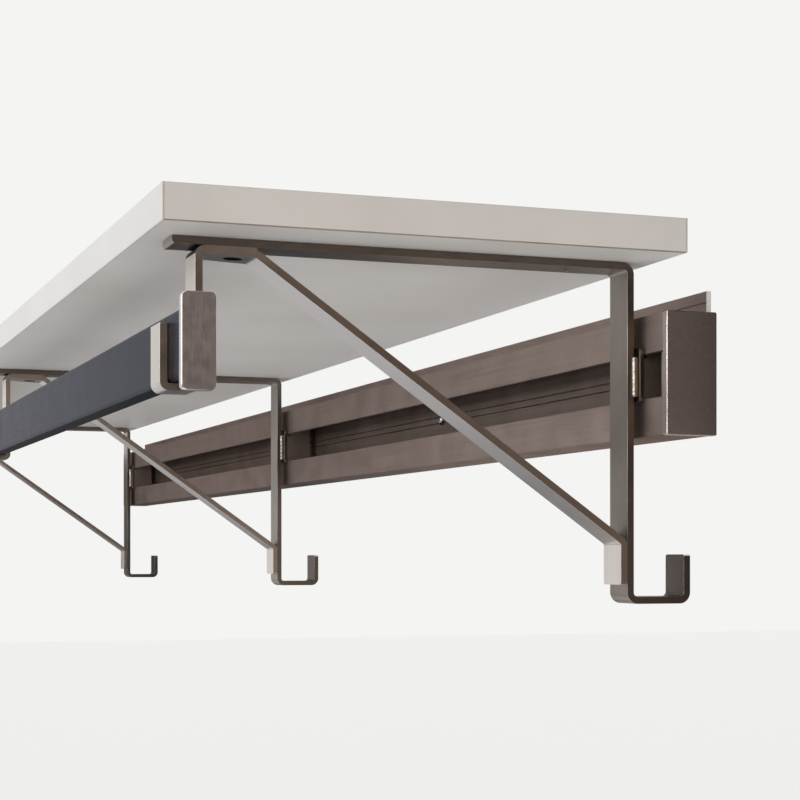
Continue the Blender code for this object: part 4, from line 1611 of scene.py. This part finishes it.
LAMPS = (
    Lamp("key", (0.3, -3.3, 0.7), (0, -0.2, 0), (1.9, 1.5), 40, (0.97, 0.985, 1.0)),
    Lamp("fill", (3.4, -1.5, 0.6), (0.4, -0.2, 0), (1.2, 1.2), 17, (1.0, 0.82, 0.66)),
    Lamp("bounce", (0.4, -0.8, -1.5), (0, -0.15, 0), (3.0, 1.2), 15, (0.95, 0.98, 1.0)),
)
CARDS = (
    Card("high_wall_card", (-3.62, 0.06, 1.28), (8.76, 2.43), Turn.ALONG_Y, "45464a"),
    Card("low_wall_card", (-3.62, 0.06, -1.28), (8.76, 2.43), Turn.ALONG_Y, "45464a"),
    Card("low_room_card", (0.44, 0.058, -0.3), (0.64, 0.46), Turn.ALONG_Y, "b9aea2"),
    Card("corner_shade", (0.81, 0.06, 0), (0.1, 5), Turn.ALONG_Y, "3d3733"),
    Card("near_corner_card", (0.955, 0.06, 1.22), (0.19, 2.57), Turn.ALONG_Y, "675e59"),
    Card("low_corner_card", (0.955, 0.06, -1.28), (0.19, 2.43), Turn.ALONG_Y, "9a8f88"),
    Card("mid_corner_card", (1.25, 0.06, 0), (0.4, 5), Turn.ALONG_Y, "8d837b"),
    Card("corner_card", (5.45, 0.06, 0), (8, 5), Turn.ALONG_Y, "625852"),
    Card("right_card", (3.4, -1.6, 0), (3.4, 5), Turn.ALONG_X, "5a5148"),
    Card("floor_card", (-1.5, -0.6, -1.4), (10, 1.3), Turn.UP, "c9cbcf"),
    Card("front_floor_card", (-1.5, -2.85, -1.4), (10, 3.2), Turn.UP, "a3a09d"),
    Card("front_card", (-4.5, -4.2, 0), (4.6, 5), Turn.ALONG_X, "aeaba8"),
    Card("far_card", (-1.0, -0.1, -0.13), (0.24, 0.3), Turn.ALONG_X, "6c6660"),
)


@dataclass
class Studio:
    """The floor, the pale surround, the lamps, the cards and the camera."""

    floor_z: float = -1.6
    floor_size: float = 60.0
    floor_colour: str = "e9e8e6"
    floor_roughness: float = 0.7
    floor_glow: float = 0.42
    surround: str = "f4f4f3"
    ambient: float = 0.47
    camera_place: Spot = (1.6479, -0.5109, -0.12458)
    camera_heading: float = 70.11
    lens: float = 82.325
    sensor_width: float = 36
    shift_y: float = 0.195575

    def build(self) -> None:
        """Set up the whole studio."""
        bpy.context.scene.view_settings.view_transform = "Standard"
        self.floor()
        self.world()
        for item in LAMPS + CARDS:
            item.build()
        self.camera()

    def floor(self) -> None:
        """Lay the pale floor."""
        bpy.ops.object.select_all(action="DESELECT")
        bpy.ops.mesh.primitive_plane_add(size=self.floor_size, location=(0, 0, self.floor_z))
        floor = bpy.context.object
        floor.name = "studio_floor"
        material = bpy.data.materials.new("painted_studio_floor")
        material.use_nodes = True
        tree = material.node_tree
        shader = tree.nodes["Principled BSDF"]
        shader.inputs["Base Color"].default_value = linear_colour(self.floor_colour)
        shader.inputs["Roughness"].default_value = self.floor_roughness
        shader.inputs["Emission Color"].default_value = (1, 1, 1, 1)
        seen = self.seen_ray(tree)
        glow = add_node(tree, "ShaderNodeMath", {"operation": "MULTIPLY"}, {1: self.floor_glow}, {0: seen})
        tree.links.new(glow.outputs[0], shader.inputs["Emission Strength"])
        floor.data.materials.append(material)

    def seen_ray(self, tree: bpy.types.NodeTree) -> bpy.types.NodeSocket:
        """Make a socket that tells the rays that show the background from those that light.

        Args:
            tree: the node tree that takes the nodes.

        Returns:
            A socket that is 1 for camera, gloss and glass rays.
        """
        path = add_node(tree, "ShaderNodeLightPath")
        seen = path.outputs["Is Camera Ray"]
        for name in ("Is Glossy Ray", "Is Transmission Ray"):
            seen = add_node(tree, "ShaderNodeMath", {"operation": "MAXIMUM"},
                            links={0: seen, 1: path.outputs[name]}).outputs[0]
        return seen

    def world(self) -> None:
        """Light from all round at a low level, and show a pale surround to camera, gloss and glass."""
        world = bpy.data.worlds.new("studio")
        world.use_nodes = True
        tree = world.node_tree
        tree.nodes.clear()
        seen = self.seen_ray(tree)
        light = add_node(tree, "ShaderNodeBackground",
                         values={"Color": (1, 1, 1, 1), "Strength": self.ambient})
        pale = add_node(tree, "ShaderNodeBackground",
                        values={"Color": linear_colour(self.surround), "Strength": 1.0})
        mixed = add_node(tree, "ShaderNodeMixShader",
                         links={0: seen, 1: light.outputs[0], 2: pale.outputs[0]})
        add_node(tree, "ShaderNodeOutputWorld", links={"Surface": mixed.outputs[0]})
        bpy.context.scene.world = world

    def camera(self) -> None:
        """Place the camera at the photograph's viewing angle."""
        data = bpy.data.cameras.new("camera")
        data.sensor_width = self.sensor_width
        data.lens = self.lens
        data.shift_y = self.shift_y
        camera = bpy.data.objects.new("camera", data)
        bpy.context.scene.collection.objects.link(camera)
        camera.location = self.camera_place
        camera.rotation_euler = (math.pi / 2, 0, math.radians(self.camera_heading))
        bpy.context.scene.camera = camera


def main() -> None:
    """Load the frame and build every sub-assembly."""
    logging.basicConfig(level=logging.INFO, format="%(name)s: %(message)s")
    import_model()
    Studio().build()
    assemblies = [ShelfBoard(Body.SHELF), Bracket(Body.SHELF), WallTrack(Body.WALL), HangingRod(Body.ROD)]
    for assembly in assemblies:
        assembly.build()
    log.info("%d pieces in all", sum(len(assembly.pieces) for assembly in assemblies))


if __name__ == "__main__":
    main()
